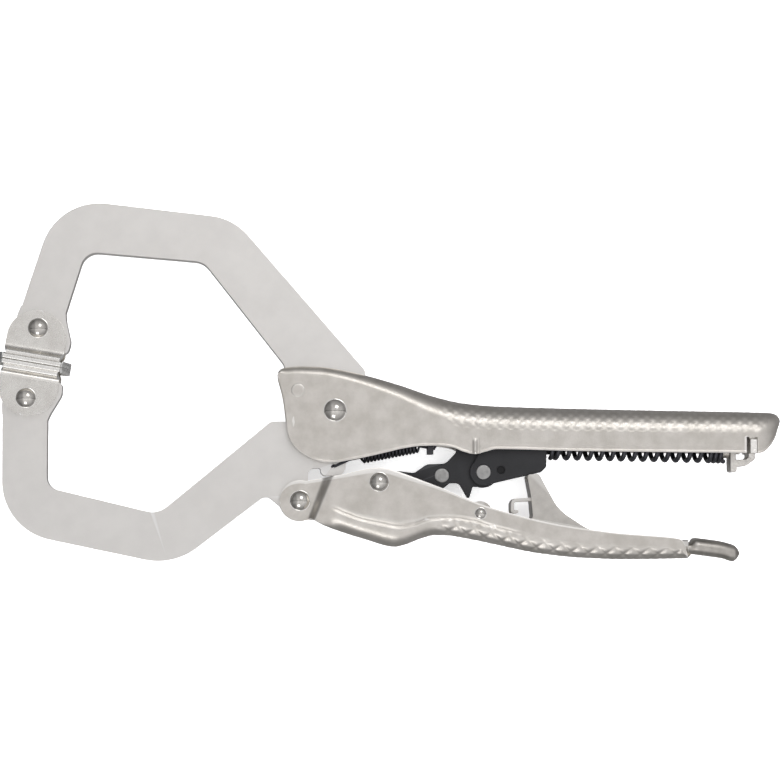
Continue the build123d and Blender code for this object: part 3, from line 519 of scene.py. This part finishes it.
# ---------------------------------------------------------------- lower handle
LEVER_TOP = [
    (-10.2, -24.98), (-8.0, -24.5), (-5.1, -24.0), (0.3, -23.1), (3.4, -22.4), (8.9, -21.1),
    (13.5, -20.3), (16.2, -20.15), (18.6, -20.5), (24.1, -22.3), (30.8, -24.8), (38.7, -27.8),
    (47.7, -31.7), (55.1, -34.3), (62.0, -36.3), (70.0, -38.4), (80.0, -40.5), (93.5, -42.5),
    (100.7, -43.4), (112.5, -44.3), (121.5, -45.2), (123.4, -46.0), (124.4, -48.1),
    (125.1, -51.0), (125.4, -51.9),
]
LEVER_FOOT = [
    (-8.6, -38.07), (-6.9, -38.8), (-3.2, -40.7), (4.1, -43.4), (12.6, -46.0), (18.5, -47.8),
    (21.2, -48.2), (24.8, -47.5), (30.9, -45.2), (35.8, -44.05), (40.1, -44.1), (46.1, -45.0),
    (57.4, -47.3), (65.1, -49.0), (73.3, -50.5), (89.1, -52.1), (104.9, -52.6), (125.4, -52.3),
]
LEVER_CREASE = [
    (-19.5, -32.2), (-12.3, -36.0), (-8.6, -36.2), (-4.0, -34.8), (-0.9, -33.5), (3.4, -35.1),
    (9.5, -37.3), (17.4, -38.8), (23.5, -39.8), (28.4, -39.1), (33.8, -37.4), (41.8, -37.0),
    (49.1, -37.9), (55.1, -39.9), (61.2, -41.4), (70.0, -43.6), (80.0, -45.4), (93.0, -46.9),
    (110.0, -47.6), (122.0, -48.2), (125.4, -52.0),
]
EYE_X, EYE_Y, EYE_RADIUS = -12.3, -31.9, 7.2
BRAID_PITCH = 6.2
BRAID_HEIGHT = 4.8


def lever_section(x, sizes):
    """One section of the lower handle, near edge to far edge: wall, crease and rolled keel."""
    reach = math.sqrt(max(EYE_RADIUS**2 - (x - EYE_X) ** 2, 0.0))
    top = EYE_Y + reach if x < -10.2 else curve_through(LEVER_TOP)(x)
    foot = EYE_Y - reach if x < -8.6 else curve_through(LEVER_FOOT)(x)
    crease = min(max(curve_through(LEVER_CREASE)(x), foot + 0.25 * (top - foot)), top - 0.2)
    crease = min(crease, foot + 0.8 * (top - foot))
    roll = 5.0 * smooth_step(x, -6.5, 3.0)
    drop = crease - foot
    creased = smooth_step(x, -2.5, 1.5) * (1 - smooth_step(x, 58.0, 72.0))
    braided = smooth_step(x, 35.5, 38.5) * (1 - smooth_step(x, 123.6, 124.8))
    near = []
    for k in range(17):
        y = top + (crease - top) * k / 16
        lean = (y - EYE_Y) / math.tan(math.radians(70))
        spread = smooth_step(x - lean, -7.4, -3.9 + 0.06 * (y - EYE_Y))
        half = sizes["eye_half_width"] + spread * (sizes["half_width"] - sizes["eye_half_width"])
        near.append((x, y, half))
    for k in range(1, 25):
        angle = math.pi / 2 * k / 24
        degrees = math.degrees(angle)
        y = crease - drop * math.sin(angle)
        lean = (y - EYE_Y) / math.tan(math.radians(70))
        spread = smooth_step(x - lean, -7.4, -3.9 + 0.06 * (y - EYE_Y))
        half = sizes["eye_half_width"] + spread * (sizes["half_width"] - sizes["eye_half_width"])
        z = half - roll + roll * math.cos(angle)
        around = half - roll + (1 - k / 24) * (drop + roll) * 0.78
        pressed = lozenges(x, around, BRAID_PITCH, BRAID_HEIGHT)
        depth = braided * smooth_step(degrees, 8, 16) * sizes["braid"] * (pressed - 0.75)
        depth += creased * (0.35 * bell(degrees, 34, 20) - 0.50 * bell(degrees, 7, 5))
        near.append((x, y - depth * math.sin(angle), z + depth * math.cos(angle)))
    keel_z = near[-1][2]
    for k in range(1, 4):
        z = keel_z * (1 - k / 3)
        pressed = lozenges(x, z, BRAID_PITCH, BRAID_HEIGHT)
        depth = braided * sizes["braid"] * (pressed - 0.75)
        near.append((x, foot - depth, z))
    return near + [(px, y, -z) for px, y, z in reversed(near[:-1])]


# ---------------------------------------------------------------- pads
PAD_PROFILE = [  # (across, up from the clamping face), from the tip of an ear to the face
    (5.7, 18.9), (5.7, 16.0), (5.7, 13.0), (5.7, 10.0), (5.7, 8.4), (5.7, 7.0), (5.7, 5.9),
    (5.75, 5.2), (5.95, 4.6), (6.4, 4.1), (7.0, 3.75), (7.5, 3.55), (7.85, 3.3), (8.05, 3.0),
    (8.1, 2.6), (8.1, 2.25), (8.0, 2.05), (7.98, 1.95), (8.1, 1.8), (8.45, 1.72), (8.62, 1.55),
    (8.68, 1.3), (8.68, 0.45), (8.6, 0.22), (8.4, 0.09), (8.1, 0.05), (6.0, 0.05), (3.0, 0.05),
    (0.0, 0.05),
]
PAD_RADIUS = 13.4
EAR_ACROSS = 5.7  # from the middle of the pad to the outside of an ear
EAR_RADIUS = 10.4
EAR_CENTRE = 8.4
JAW_TILT = 9.4  # degrees that the clamping axis leans
PAD_COLUMNS = 28


def pad_half_length(across, up):
    """Half the length of a pad along the jaw at one line of its profile."""
    if up > EAR_CENTRE:
        return math.sqrt(max(EAR_RADIUS**2 - (up - EAR_CENTRE) ** 2, 0.01))
    if up > 4.6:
        return EAR_RADIUS
    waist = EAR_RADIUS - 0.9 * smooth_step(4.6 - up, 0.0, 0.9)
    if up > 1.9:
        return waist
    disc = math.sqrt(max(PAD_RADIUS**2 - across**2, 0.01))
    return waist + (disc - waist) * smooth_step(1.9 - up, 0.0, 0.25)


def pad_form(side):
    """The stamped sheet of one pad: side is 1 for the upper pad and -1 for the lower one."""
    tilt = math.radians(JAW_TILT)
    along = Vector((math.cos(tilt), -math.sin(tilt), 0))
    away = Vector((math.sin(tilt), math.cos(tilt), 0)) * side
    across_axis = Vector((0, 0, 1))
    finer = []
    for (z0, u0), (z1, u1) in zip(PAD_PROFILE, PAD_PROFILE[1:]):
        count = max(1, round(math.hypot(z1 - z0, u1 - u0) / 0.8))
        finer += [(z0 + (z1 - z0) * k / count, u0 + (u1 - u0) * k / count) for k in range(count)]
    tip = EAR_CENTRE + EAR_RADIUS
    crowded = [(EAR_ACROSS, tip - below) for below in (0.02, 0.25, 0.8)]
    finer = crowded + [point for point in finer if point[1] < tip - 1.2]
    whole = finer + [(0.0, 0.05)] + [(-z, u) for z, u in reversed(finer)]
    form = bmesh.new()
    grid = []
    for across, up in whole:
        half = pad_half_length(abs(across), up)
        line = []
        for k in range(PAD_COLUMNS + 1):
            share = math.sin(math.pi / 2 * (2 * k / PAD_COLUMNS - 1))
            point = along * (half * share) + away * up + across_axis * across
            line.append(form.verts.new(point * MM))
        grid.append(line)
    for lower, upper in zip(grid, grid[1:]):
        for k in range(PAD_COLUMNS):
            form.faces.new((lower[k], lower[k + 1], upper[k + 1], upper[k]))
    form.normal_update()
    on_ear = (away * 10 + across_axis * EAR_ACROSS) * MM
    ear = min(form.faces, key=lambda face: (face.calc_center_median() - on_ear).length)
    if ear.normal.z < 0:
        bmesh.ops.reverse_faces(form, faces=form.faces)
    return form


# ---------------------------------------------------------------- rivets
RIVETS = {  # node: (shank radius, head radius, rise of the dome, half of what it holds)
    "main_pivot_rivet": (3.0, 4.1, 1.9, 8.0),
    "jaw_rivet": (2.5, 3.65, 1.9, 5.7),
    "link_rivet": (2.5, 3.5, 1.9, 8.0),
    "upper_pad_rivet": (2.5, 3.65, 1.9, 5.7),
    "lower_pad_rivet": (2.5, 3.65, 1.9, 5.7),
    "release_rivet": (1.5, 2.15, 1.0, 8.0),
}
FLUSH_PINS = {  # node: (radius, half of what it holds, finish)
    "arm_rivet": (2.45, 8.0, "handle"),
    "link_plate_rivet": (2.55, 2.3, "pin"),
    "slider_pin": (2.55, 4.1, "pin"),
}


def rivet_profile(shank, head, rise, grip):
    """Half outline of a set rivet from one dome's crown to the other's."""
    crown = (head**2 + rise**2) / (2 * rise) * 0.94
    dome = []
    for k in range(13):
        radius = head * math.sin(math.pi / 2 * k / 12)
        fall = crown - math.sqrt(max(crown**2 - radius**2, 0.0))
        dome.append((radius, grip + rise - fall))
    lip = [(head, grip + 0.16), (head - 0.12, grip + 0.02), (shank, grip - 0.02)]
    half = [point for point in dome if point[1] > grip + 0.18] + lip
    return half + [(radius, -height) for radius, height in reversed(half)]


def flush_profile(radius, grip):
    """Half outline of a pin ground nearly flush, with a fine groove round its end."""
    half = [
        (0.0, grip + 0.16), (radius * 0.5, grip + 0.16), (radius - 0.45, grip + 0.14),
        (radius - 0.2, grip + 0.10), (radius - 0.06, grip + 0.02), (radius, grip - 0.06),
    ]
    return half + [(r, -height) for r, height in reversed(half)]


# ---------------------------------------------------------------- springs
def slide_direction():
    """The line that the slider runs along, from the record."""
    for joint in frame["joints"]:
        if joint["name"] == "slider":
            return Vector(joint["axis"]).normalized()
    raise ValueError("the record has no slider joint")


def coil_points(start, end, radius, turns_at, fineness=22):
    """A helix from start to end; turns_at lists the share of the length where each turn ends."""
    axis = (end - start).normalized()
    up = Vector((0, 0, 1))
    side = axis.cross(up).normalized()
    points = []
    for first, last in zip(turns_at, turns_at[1:]):
        for k in range(fineness):
            share = first + (last - first) * k / fineness
            angle = 2 * math.pi * k / fineness
            swing = side * math.cos(angle) + up * math.sin(angle)
            points.append(start.lerp(end, share) + swing * radius)
    points.append(end + side * radius)
    return points


def turn_ends(length, wire, closed_start, closed_end, pitch):
    """Where each turn ends, as shares of the length: closed at the ends, open between."""
    closed = wire * 1.04
    middle_length = length - closed * (closed_start + closed_end)
    open_turns = max(1, round(middle_length / pitch))
    pitches = [closed] * closed_start + [middle_length / open_turns] * open_turns
    pitches += [closed] * closed_end
    ends = [0.0]
    for step in pitches:
        ends.append(ends[-1] + step)
    return [end / ends[-1] for end in ends]


# ---------------------------------------------------------------- sizes and colours of the add-on
class PliersSizes(bpy.types.PropertyGroup):
    """Sizes that a user may change."""

    edge: FloatProperty(
        name="Plate edge", description="Rounding of the blanked plates' edges",
        default=0.00035, min=0.0001, max=0.0008, unit="LENGTH", precision=5,
    )
    sheet: FloatProperty(
        name="Sheet", description="Thickness of the handles' sheet",
        default=0.002, min=0.001, max=0.003, unit="LENGTH", precision=5,
    )
    knurl: FloatProperty(
        name="Grip pattern", description="Depth of the pattern pressed into the upper handle",
        default=0.00013, min=0.0, max=0.0008, unit="LENGTH", precision=5,
    )
    braid: FloatProperty(
        name="Keel pattern", description="Depth of the pattern pressed under the lower handle",
        default=0.00032, min=0.0, max=0.001, unit="LENGTH", precision=5,
    )
    slide_wire: FloatProperty(
        name="Slide spring wire", description="Diameter of the long spring's wire",
        default=0.0017, min=0.0008, max=0.0024, unit="LENGTH", precision=5,
    )
    jaw_wire: FloatProperty(
        name="Jaw spring wire", description="Diameter of the small tension spring's wire",
        default=0.001, min=0.0006, max=0.0014, unit="LENGTH", precision=5,
    )
    floor: FloatProperty(
        name="Floor", description="Length of the pale floor's side",
        default=6.0, min=1.0, max=20.0, unit="LENGTH",
    )


class PliersColours(bpy.types.PropertyGroup):
    """Colours that a user may change."""

    floor: FloatVectorProperty(
        name="Floor", description="Colour of the floor", subtype="COLOR", size=4,
        default=linear("FAFAFA"), min=0.0, max=1.0,
    )
    sky: FloatVectorProperty(
        name="Studio", description="Colour of the studio's walls", subtype="COLOR", size=4,
        default=linear("F4F4F6"), min=0.0, max=1.0,
    )


def section_sizes(sizes):
    """The sizes that the handles' sections use, in millimetres."""
    return {
        "half_width": (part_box("upper_handle")[1].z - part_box("upper_handle")[0].z) / 2 / MM,
        "eye_half_width": 5.7,
        "knurl": sizes.knurl / MM,
        "braid": sizes.braid / MM,
        "phase": 0.4,
    }


# ---------------------------------------------------------------- operators
class PLIERS_OT_stage(bpy.types.Operator):
    """Set the pale floor, the soft studio light and the camera"""

    bl_idname = "pliers.stage"
    bl_label = "Stage"

    def execute(self, context):
        colours = context.scene.pliers_colours
        half = context.scene.pliers_sizes.floor / 2
        low = CAD_BOX[0]
        form = bmesh.new()
        corners = [(-half, -half), (half, -half), (half, half), (-half, half)]
        form.faces.new([form.verts.new((x, y, low.z - 0.0002)) for x, y in corners])
        mesh = bpy.data.meshes.new("floor")
        form.to_mesh(mesh)
        form.free()
        floor = bpy.data.objects.new("floor", mesh)
        context.scene.collection.objects.link(floor)
        floor.visible_glossy = False
        # Opal light table: even, lit from below, with no gloss that would mirror the tool.
        paint, tree, output, place_on = new_finish("OpalLightTable")
        speck = add_node(
            tree, "ShaderNodeTexNoise", inputs={"Vector": place_on, "Scale": per_metre(30.0)}
        )
        tone = add_node(
            tree, "ShaderNodeMix", {"data_type": "RGBA"},
            {"Factor": speck.outputs["Fac"], 6: tuple(colours.floor), 7: linear("F7F7F7")},
        )
        shader = add_node(
            tree, "ShaderNodeBsdfPrincipled",
            inputs={
                "Base Color": tone.outputs[2], "Roughness": 0.9, "Specular IOR Level": 0.1,
                "Emission Color": tone.outputs[2], "Emission Strength": 0.55,
            },
        )
        tree.links.new(shader.outputs["BSDF"], output.inputs["Surface"])
        mesh.materials.append(paint)
        make_studio(context.scene, tuple(colours.sky))
        make_camera(context.scene)
        return {"FINISHED"}


def make_studio(scene, sky):
    """Light from overhead that falls off to dark walls, and a soft box that lights the floor."""
    room = bpy.data.worlds.new("Studio")
    room.use_nodes = True
    tree = room.node_tree
    tree.nodes.clear()
    output = add_node(tree, "ShaderNodeOutputWorld")
    coordinates = add_node(tree, "ShaderNodeTexCoord")
    axes = add_node(
        tree, "ShaderNodeSeparateXYZ", inputs={"Vector": coordinates.outputs["Generated"]}
    )
    height = add_node(tree, "ShaderNodeValToRGB", inputs={"Fac": axes.outputs["Z"]})
    stops = height.color_ramp.elements
    stops[0].position = 0.0
    stops[0].color = (0.34, 0.34, 0.34, 1)
    stops[1].position = 0.97
    stops[1].color = (0.88, 0.88, 0.88, 1)
    for position, grey in ((0.12, 0.42), (0.35, 0.56), (0.60, 0.72), (0.80, 0.82)):
        stop = stops.new(position)
        stop.color = (grey, grey, grey, 1)
    # A bright wall in front of the tool and a dim one behind it meet in a thin dark join.
    join = add_node(
        tree, "ShaderNodeMapRange",
        inputs={"Value": axes.outputs["Y"], "From Min": -1.0, "From Max": 1.0},
    )
    walls = add_node(tree, "ShaderNodeValToRGB", inputs={"Fac": join.outputs["Result"]})
    stops = walls.color_ramp.elements
    stops[0].position = 0.0
    stops[0].color = (0.8, 0.8, 0.8, 1)
    stops[1].position = 1.0
    stops[1].color = (0.75, 0.75, 0.75, 1)
    greys = ((0.38, 1.15), (0.455, 1.35), (0.465, 0.2), (0.485, 0.25), (0.50, 0.95), (0.70, 0.95))
    for position, grey in greys:
        stop = stops.new(position)
        stop.color = (grey, grey, grey, 1)
    # The left wall is dark.
    left = add_node(
        tree, "ShaderNodeMapRange", {"interpolation_type": "SMOOTHSTEP"},
        {
            "Value": axes.outputs["X"], "From Min": -0.62, "From Max": -0.35, "To Min": 0.55,
            "To Max": 1.0,
        },
    )
    both = add_node(
        tree, "ShaderNodeMix", {"data_type": "RGBA", "blend_type": "MULTIPLY"},
        {"Factor": 1.0, 6: height.outputs["Color"], 7: walls.outputs["Color"]},
    )
    dimmed = add_node(
        tree, "ShaderNodeMix", {"data_type": "RGBA", "blend_type": "MULTIPLY"},
        {"Factor": 1.0, 6: both.outputs[2], 7: left.outputs["Result"]},
    )
    tinted = add_node(
        tree, "ShaderNodeMix", {"data_type": "RGBA", "blend_type": "MULTIPLY"},
        {"Factor": 1.0, 6: dimmed.outputs[2], 7: sky},
    )
    shine = add_node(
        tree, "ShaderNodeBackground", inputs={"Color": tinted.outputs[2], "Strength": 1.0}
    )
    tree.links.new(shine.outputs["Background"], output.inputs["Surface"])
    scene.world = room
    centre = (CAD_BOX[0] + CAD_BOX[1]) / 2
    boxes = (  # name, place in metres from the tool, size, power, whether metal mirrors it
        ("floor_light", Vector((0.0, 0.0, 1.6)), 3.0, 75.0, False),
        ("key_light", Vector((0.35, 0.75, 1.3)), 0.6, 2.5, True),
        ("front_light", Vector((-0.25, -1.0, 0.8)), 0.5, 1.6, True),
    )
    for name, place_at, size, power, mirrored in boxes:
        light = bpy.data.lights.new(name, "AREA")
        light.shape = "SQUARE"
        light.size = size
        light.energy = power
        holder = bpy.data.objects.new(name, light)
        scene.collection.objects.link(holder)
        holder.visible_glossy = mirrored
        holder.location = centre + place_at
        holder.rotation_mode = "QUATERNION"
        holder.rotation_quaternion = (-place_at).to_track_quat("-Z", "Y")
    scene.view_settings.view_transform = "Standard"
    scene.view_settings.look = "None"
    scene.view_settings.exposure = 0.0


def make_camera(scene):
    """Look straight down on the tool from nearly a metre, a little left of its middle."""
    stand = Vector((73.05, -62.37, 950.0)) * MM
    aim = Vector((126.56, -9.04, 0.0)) * MM
    seen_height = 0.27856
    lens_data = bpy.data.cameras.new("camera")
    camera = bpy.data.objects.new("camera", lens_data)
    scene.collection.objects.link(camera)
    back = (stand - aim).normalized()
    right = Vector((0, 1, 0)).cross(back).normalized()
    up = back.cross(right)
    turned = Matrix((right, up, back)).transposed().to_4x4()
    camera.matrix_world = Matrix.Translation(stand) @ turned
    lens_data.sensor_width = 36.0
    lens_data.lens = lens_data.sensor_width * (stand - aim).length / seen_height
    lens_data.clip_start = 0.05
    lens_data.clip_end = 20.0
    scene.camera = camera


class PLIERS_OT_upper_handle(bpy.types.Operator):
    """Form the upper handle: folded sheet, rounded back, pressed grip, slot and notches"""

    bl_idname = "pliers.upper_handle"
    bl_label = "Upper handle"

    def execute(self, context):
        settings = context.scene.pliers_sizes
        sizes = section_sizes(settings)
        stations = steps(-20.15, -14.0, 0.2) + steps(-14.0, SLOT_REAR, 0.7)
        stations += steps(SLOT_REAR, 37.0, 0.75) + steps(37.0, 48.0, 0.45)
        stations += steps(48.0, 51.5, 0.22) + steps(51.5, NOTCH[0], 0.45)
        stations += steps(NOTCH[0], NOTCH[1], 0.45) + steps(NOTCH[1], 154.0, 0.4)
        stations += steps(154.0, 159.9, 0.25) + [159.95]
        rows = [handle_section(x, sizes) for x in stations]

        def slot_or_notch(here, there):
            across = (here[2] + there[2]) / 2
            height = (here[1] + there[1]) / 2
            in_slot = there[0] < SLOT_REAR + 0.01 and abs(across) < SLOT_HALF
            in_notch = NOTCH[0] - 0.01 < here[0] and there[0] < NOTCH[1] + 0.01
            return in_slot or (in_notch and height < NOTCH[2])

        form = sheet_form(rows, slot_or_notch)
        mesh = shaded_mesh("upper_handle_form", form, 60.0)
        piece = place(
            "upper_handle_formed", mesh, FINISHES["handle"], "upper_body",
            ["upper_handle"],
        )
        sheet = piece.modifiers.new("Sheet", "SOLIDIFY")
        sheet.thickness = settings.sheet
        sheet.offset = -1
        finish_edges(piece, 0.00028)
        return {"FINISHED"}


def finish_edges(piece, width):
    """Round a formed piece's cut edges and shade it smooth."""
    rounding = piece.modifiers.new("Cut edges", "BEVEL")
    rounding.width = width
    rounding.segments = 2
    rounding.limit_method = "ANGLE"
    rounding.angle_limit = math.radians(50)
    rounding.use_clamp_overlap = True
    rounding.harden_normals = False
    piece.data.shade_smooth()


class PLIERS_OT_lower_handle(bpy.types.Operator):
    """Form the lower handle: eyes, joggle, creased wall and rolled, patterned keel"""

    bl_idname = "pliers.lower_handle"
    bl_label = "Lower handle"

    def execute(self, context):
        settings = context.scene.pliers_sizes
        sizes = section_sizes(settings)
        stations = [EYE_X - EYE_RADIUS * math.cos(0.14 + 0.10 * k) for k in range(13)]
        stations += steps(stations[-1] + 0.4, 2.0, 0.3) + steps(2.0, 35.0, 0.7)
        stations += steps(35.0, 125.3, 0.45) + [125.35]
        rows = [lever_section(x, sizes) for x in stations]

        def no_web_yet(here, there):
            return abs(here[2]) < 3.6 and there[0] < -2.0

        form = sheet_form(rows, no_web_yet)
        mesh = shaded_mesh("lower_handle_form", form, 60.0)
        piece = place(
            "lower_handle_formed", mesh, FINISHES["handle"], "lower_handle_body",
            ["lower_handle"],
        )
        sheet = piece.modifiers.new("Sheet", "SOLIDIFY")
        sheet.thickness = settings.sheet
        sheet.offset = -1
        finish_edges(piece, 0.00028)
        return {"FINISHED"}


class PLIERS_OT_plates(bpy.types.Operator):
    """Break the edges of the blanked and folded plates and finish them"""

    bl_idname = "pliers.plates"
    bl_label = "Arms, link, slider and small plates"

    def execute(self, context):
        edge = context.scene.pliers_sizes.edge
        for node in ("upper_arm", "lower_arm"):
            softened_piece(node, edge, FINISHES["arm"])
        black = ("link_plate_near", "link_plate_far", "slider_plate_near", "slider_plate_far")
        for node in black:
            softened_piece(node, edge * 0.7, FINISHES["black"])
        softened_piece("lock_rack", edge * 0.5, FINISHES["black"])
        softened_piece("spring_anchor", edge * 0.8, FINISHES["sheared"])
        for node in ("cheek_near", "cheek_far"):
            keep_node(node, FINISHES["arm"])
        for node in ("link_spacer_near", "link_spacer_far"):
            keep_node(node, FINISHES["rivet"])
        keep_node("slider_block", FINISHES["black"])
        return {"FINISHED"}


TAIL_TOP = [
    (124.4, -46.7), (127.3, -46.5), (127.9, -45.3), (128.8, -45.0), (131.0, -45.2),
    (137.6, -46.1), (142.0, -47.2), (143.6, -48.0), (144.5, -49.3), (144.8, -50.5),
]
TAIL_FOOT = [
    (124.4, -50.2), (126.9, -50.7), (133.6, -51.6), (139.0, -52.4), (141.4, -53.2),
    (142.6, -53.4), (143.8, -52.7), (144.6, -51.4), (144.8, -50.7),
]
TAIL_ACROSS = [(124.4, 5.2), (127.5, 5.2), (129.0, 5.6), (138.0, 5.4), (142.5, 4.9), (144.8, 2.6)]
TAIL_START = 124.4
TAIL_NOSE = 142.0  # the sections are closer together from here
TAIL_END = 144.79
TAIL_SIDES = 40
TAIL_FULLNESS = 0.8  # 1 is an oval section, and less is squarer
LEVER_CUT = 125.8  # the folded sheet ends here, inside the tail


def tail_form():
    """The solid tail of the release lever: a flattened, rounded rod."""
    form = bmesh.new()
    rings = []
    stations = steps(TAIL_START, TAIL_NOSE, 0.6) + steps(TAIL_NOSE, TAIL_END, 0.25) + [TAIL_END]
    for x in stations:
        top = curve_through(TAIL_TOP)(x)
        foot = curve_through(TAIL_FOOT)(x)
        half = curve_through(TAIL_ACROSS)(x)
        ring = []
        for k in range(TAIL_SIDES):
            angle = 2 * math.pi * k / TAIL_SIDES
            up, across = math.sin(angle), math.cos(angle)
            up = math.copysign(abs(up) ** TAIL_FULLNESS, up) * (top - foot) / 2
            across = math.copysign(abs(across) ** TAIL_FULLNESS, across) * half
            ring.append(form.verts.new(from_pivot(x, (top + foot) / 2 + up, across)))
        rings.append(ring)
    for before, after in zip(rings, rings[1:]):
        for k in range(TAIL_SIDES):
            n = (k + 1) % TAIL_SIDES
            form.faces.new((before[k], before[n], after[n], after[k]))
    form.faces.new(rings[0])
    form.faces.new(rings[-1])
    bmesh.ops.recalc_face_normals(form, faces=form.faces)
    return form


class PLIERS_OT_release_lever(bpy.types.Operator):
    """Fold the release lever and forge its tail; finish its spring"""

    bl_idname = "pliers.release_lever"
    bl_label = "Release lever"

    def execute(self, context):
        edge = context.scene.pliers_sizes.edge
        form = softened_form("release_lever", edge)
        everything = form.verts[:] + form.edges[:] + form.faces[:]
        bmesh.ops.bisect_plane(
            form, geom=everything, plane_co=from_pivot(LEVER_CUT, 0.0), plane_no=(1, 0, 0),
            clear_outer=True,
        )
        mesh = shaded_mesh("release_lever_form", form)
        lever = place(
            "release_lever_folded", mesh, FINISHES["lever"], "release_body",
            ["release_lever"],
        )
        weight_normals(lever)
        mesh = shaded_mesh("release_tail_form", tail_form(), 60.0)
        place("release_tail", mesh, FINISHES["lever"], "release_body")
        keep_node("release_spring", FINISHES["bright_wire"])
        return {"FINISHED"}


class PLIERS_OT_pads(bpy.types.Operator):
    """Stamp the two swivel pads"""

    bl_idname = "pliers.pads"
    bl_label = "Swivel pads"

    def execute(self, context):
        for side, node in ((1, "upper_pad"), (-1, "lower_pad")):
            mesh = shaded_mesh(f"{node}_form", pad_form(side), 60.0)
            piece = place(
                f"{node}_stamped", mesh, FINISHES["pad"], body_of(node), [node]
            )
            sheet = piece.modifiers.new("Sheet", "SOLIDIFY")
            sheet.thickness = 0.002
            sheet.offset = -1
            finish_edges(piece, 0.00035)
        return {"FINISHED"}


class PLIERS_OT_rivets(bpy.types.Operator):
    """Turn and set the rivets and the flush pins"""

    bl_idname = "pliers.rivets"
    bl_label = "Rivets and pins"

    def execute(self, context):
        for node, (shank, head, rise, grip) in RIVETS.items():
            form = lathe_form(rivet_profile(shank, head, rise, grip), middle(node))
            mesh = shaded_mesh(f"{node}_form", form, 50.0)
            place(f"{node}_set", mesh, FINISHES["rivet"], body_of(node), [node])
        for node, (radius, grip, finish) in FLUSH_PINS.items():
            form = lathe_form(flush_profile(radius, grip), middle(node))
            mesh = shaded_mesh(f"{node}_form", form, 30.0)
            place(f"{node}_ground", mesh, FINISHES[finish], body_of(node), [node])
        return {"FINISHED"}


class PLIERS_OT_slide_spring(bpy.types.Operator):
    """Wind the long compression spring behind the slider"""

    bl_idname = "pliers.slide_spring"
    bl_label = "Slide spring"

    def execute(self, context):
        wire = context.scene.pliers_sizes.slide_wire
        low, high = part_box("slide_spring")
        axis = slide_direction()
        centre = (low + high) / 2
        radius = (high.z - low.z) / 2 - wire / 2
        half_run = axis * ((high.x - low.x) / 2 - wire / 2)
        start, end = centre - half_run, centre + half_run
        ends = turn_ends((end - start).length, wire, 1, 3, 0.00402)
        mesh = wire_mesh("slide_spring_wire", coil_points(start, end, radius, ends), wire / 2)
        piece = place(
            "slide_spring_wound", mesh, FINISHES["spring"], "upper_body",
            ["slide_spring"],
        )
        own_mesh(piece)
        return {"FINISHED"}


class PLIERS_OT_jaw_spring(bpy.types.Operator):
    """Wind the small tension spring that opens the jaw"""

    bl_idname = "pliers.jaw_spring"
    bl_label = "Jaw spring"

    def execute(self, context):
        wire = context.scene.pliers_sizes.jaw_wire
        axis = slide_direction()
        pin = from_pivot(52.9, -21.7)
        lift = Vector((-axis.y, axis.x, 0)) * 8.0 * MM
        lug = pin + lift - axis * 0.0235
        start, end = from_pivot(10.4, -16.2), from_pivot(29.2, -12.5)
        ends = turn_ends((end - start).length, wire, 0, 0, wire * 1.25)
        coil = coil_points(start, end, 0.0020, ends, 18)
        nose = from_pivot(-0.6, -19.6)
        side = Vector((0, 0, 1)) * 4.25 * MM
        hook = [nose - Vector((0, 0, 0.0030)), nose + side * 0.8, nose + side + axis * 0.0008]
        hook += [from_pivot(5.6, -17.2, 4.2), from_pivot(9.0, -16.4, 2.4)]
        tail = [end + axis * 0.0012, lug + axis * 0.0060, lug + axis * 0.0072 + lift * 0.3]
        mesh = wire_mesh("jaw_spring_wire", hook + coil + tail, wire / 2)
        piece = bpy.data.objects.new("jaw_spring_wound", mesh)
        context.scene.collection.objects.link(piece)
        mesh.materials.clear()
        mesh.materials.append(FINISHES["spring"])
        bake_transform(piece)
        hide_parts("jaw_spring")
        return {"FINISHED"}


class PLIERS_PT_panel(bpy.types.Panel):
    """Lists the sizes, the colours and the steps"""

    bl_idname = "PLIERS_PT_panel"
    bl_label = "Locking pliers"
    bl_space_type = "VIEW_3D"
    bl_region_type = "UI"
    bl_category = "Pliers"

    def draw(self, context):
        for group in (context.scene.pliers_sizes, context.scene.pliers_colours):
            for name in group.__annotations__:
                self.layout.prop(group, name)
        for step in STEPS:
            self.layout.operator(step.bl_idname)


GROUPS = (PliersSizes, PliersColours)
STEPS = (
    PLIERS_OT_stage, PLIERS_OT_upper_handle, PLIERS_OT_lower_handle, PLIERS_OT_plates,
    PLIERS_OT_release_lever, PLIERS_OT_pads, PLIERS_OT_rivets, PLIERS_OT_slide_spring,
    PLIERS_OT_jaw_spring,
)


def register():
    """Add the classes and the scene's settings to Blender."""
    for entry in GROUPS + STEPS + (PLIERS_PT_panel,):
        bpy.utils.register_class(entry)
    bpy.types.Scene.pliers_sizes = PointerProperty(type=PliersSizes)
    bpy.types.Scene.pliers_colours = PointerProperty(type=PliersColours)


def unregister():
    """Take them out again."""
    del bpy.types.Scene.pliers_colours
    del bpy.types.Scene.pliers_sizes
    for entry in reversed(GROUPS + STEPS + (PLIERS_PT_panel,)):
        bpy.utils.unregister_class(entry)


def main():
    """Build every piece in order."""
    register()
    bpy.ops.pliers.stage()
    bpy.ops.pliers.upper_handle()
    bpy.ops.pliers.lower_handle()
    bpy.ops.pliers.plates()
    bpy.ops.pliers.release_lever()
    bpy.ops.pliers.pads()
    bpy.ops.pliers.rivets()
    bpy.ops.pliers.slide_spring()
    bpy.ops.pliers.jaw_spring()


if __name__ == "__main__":
    main()
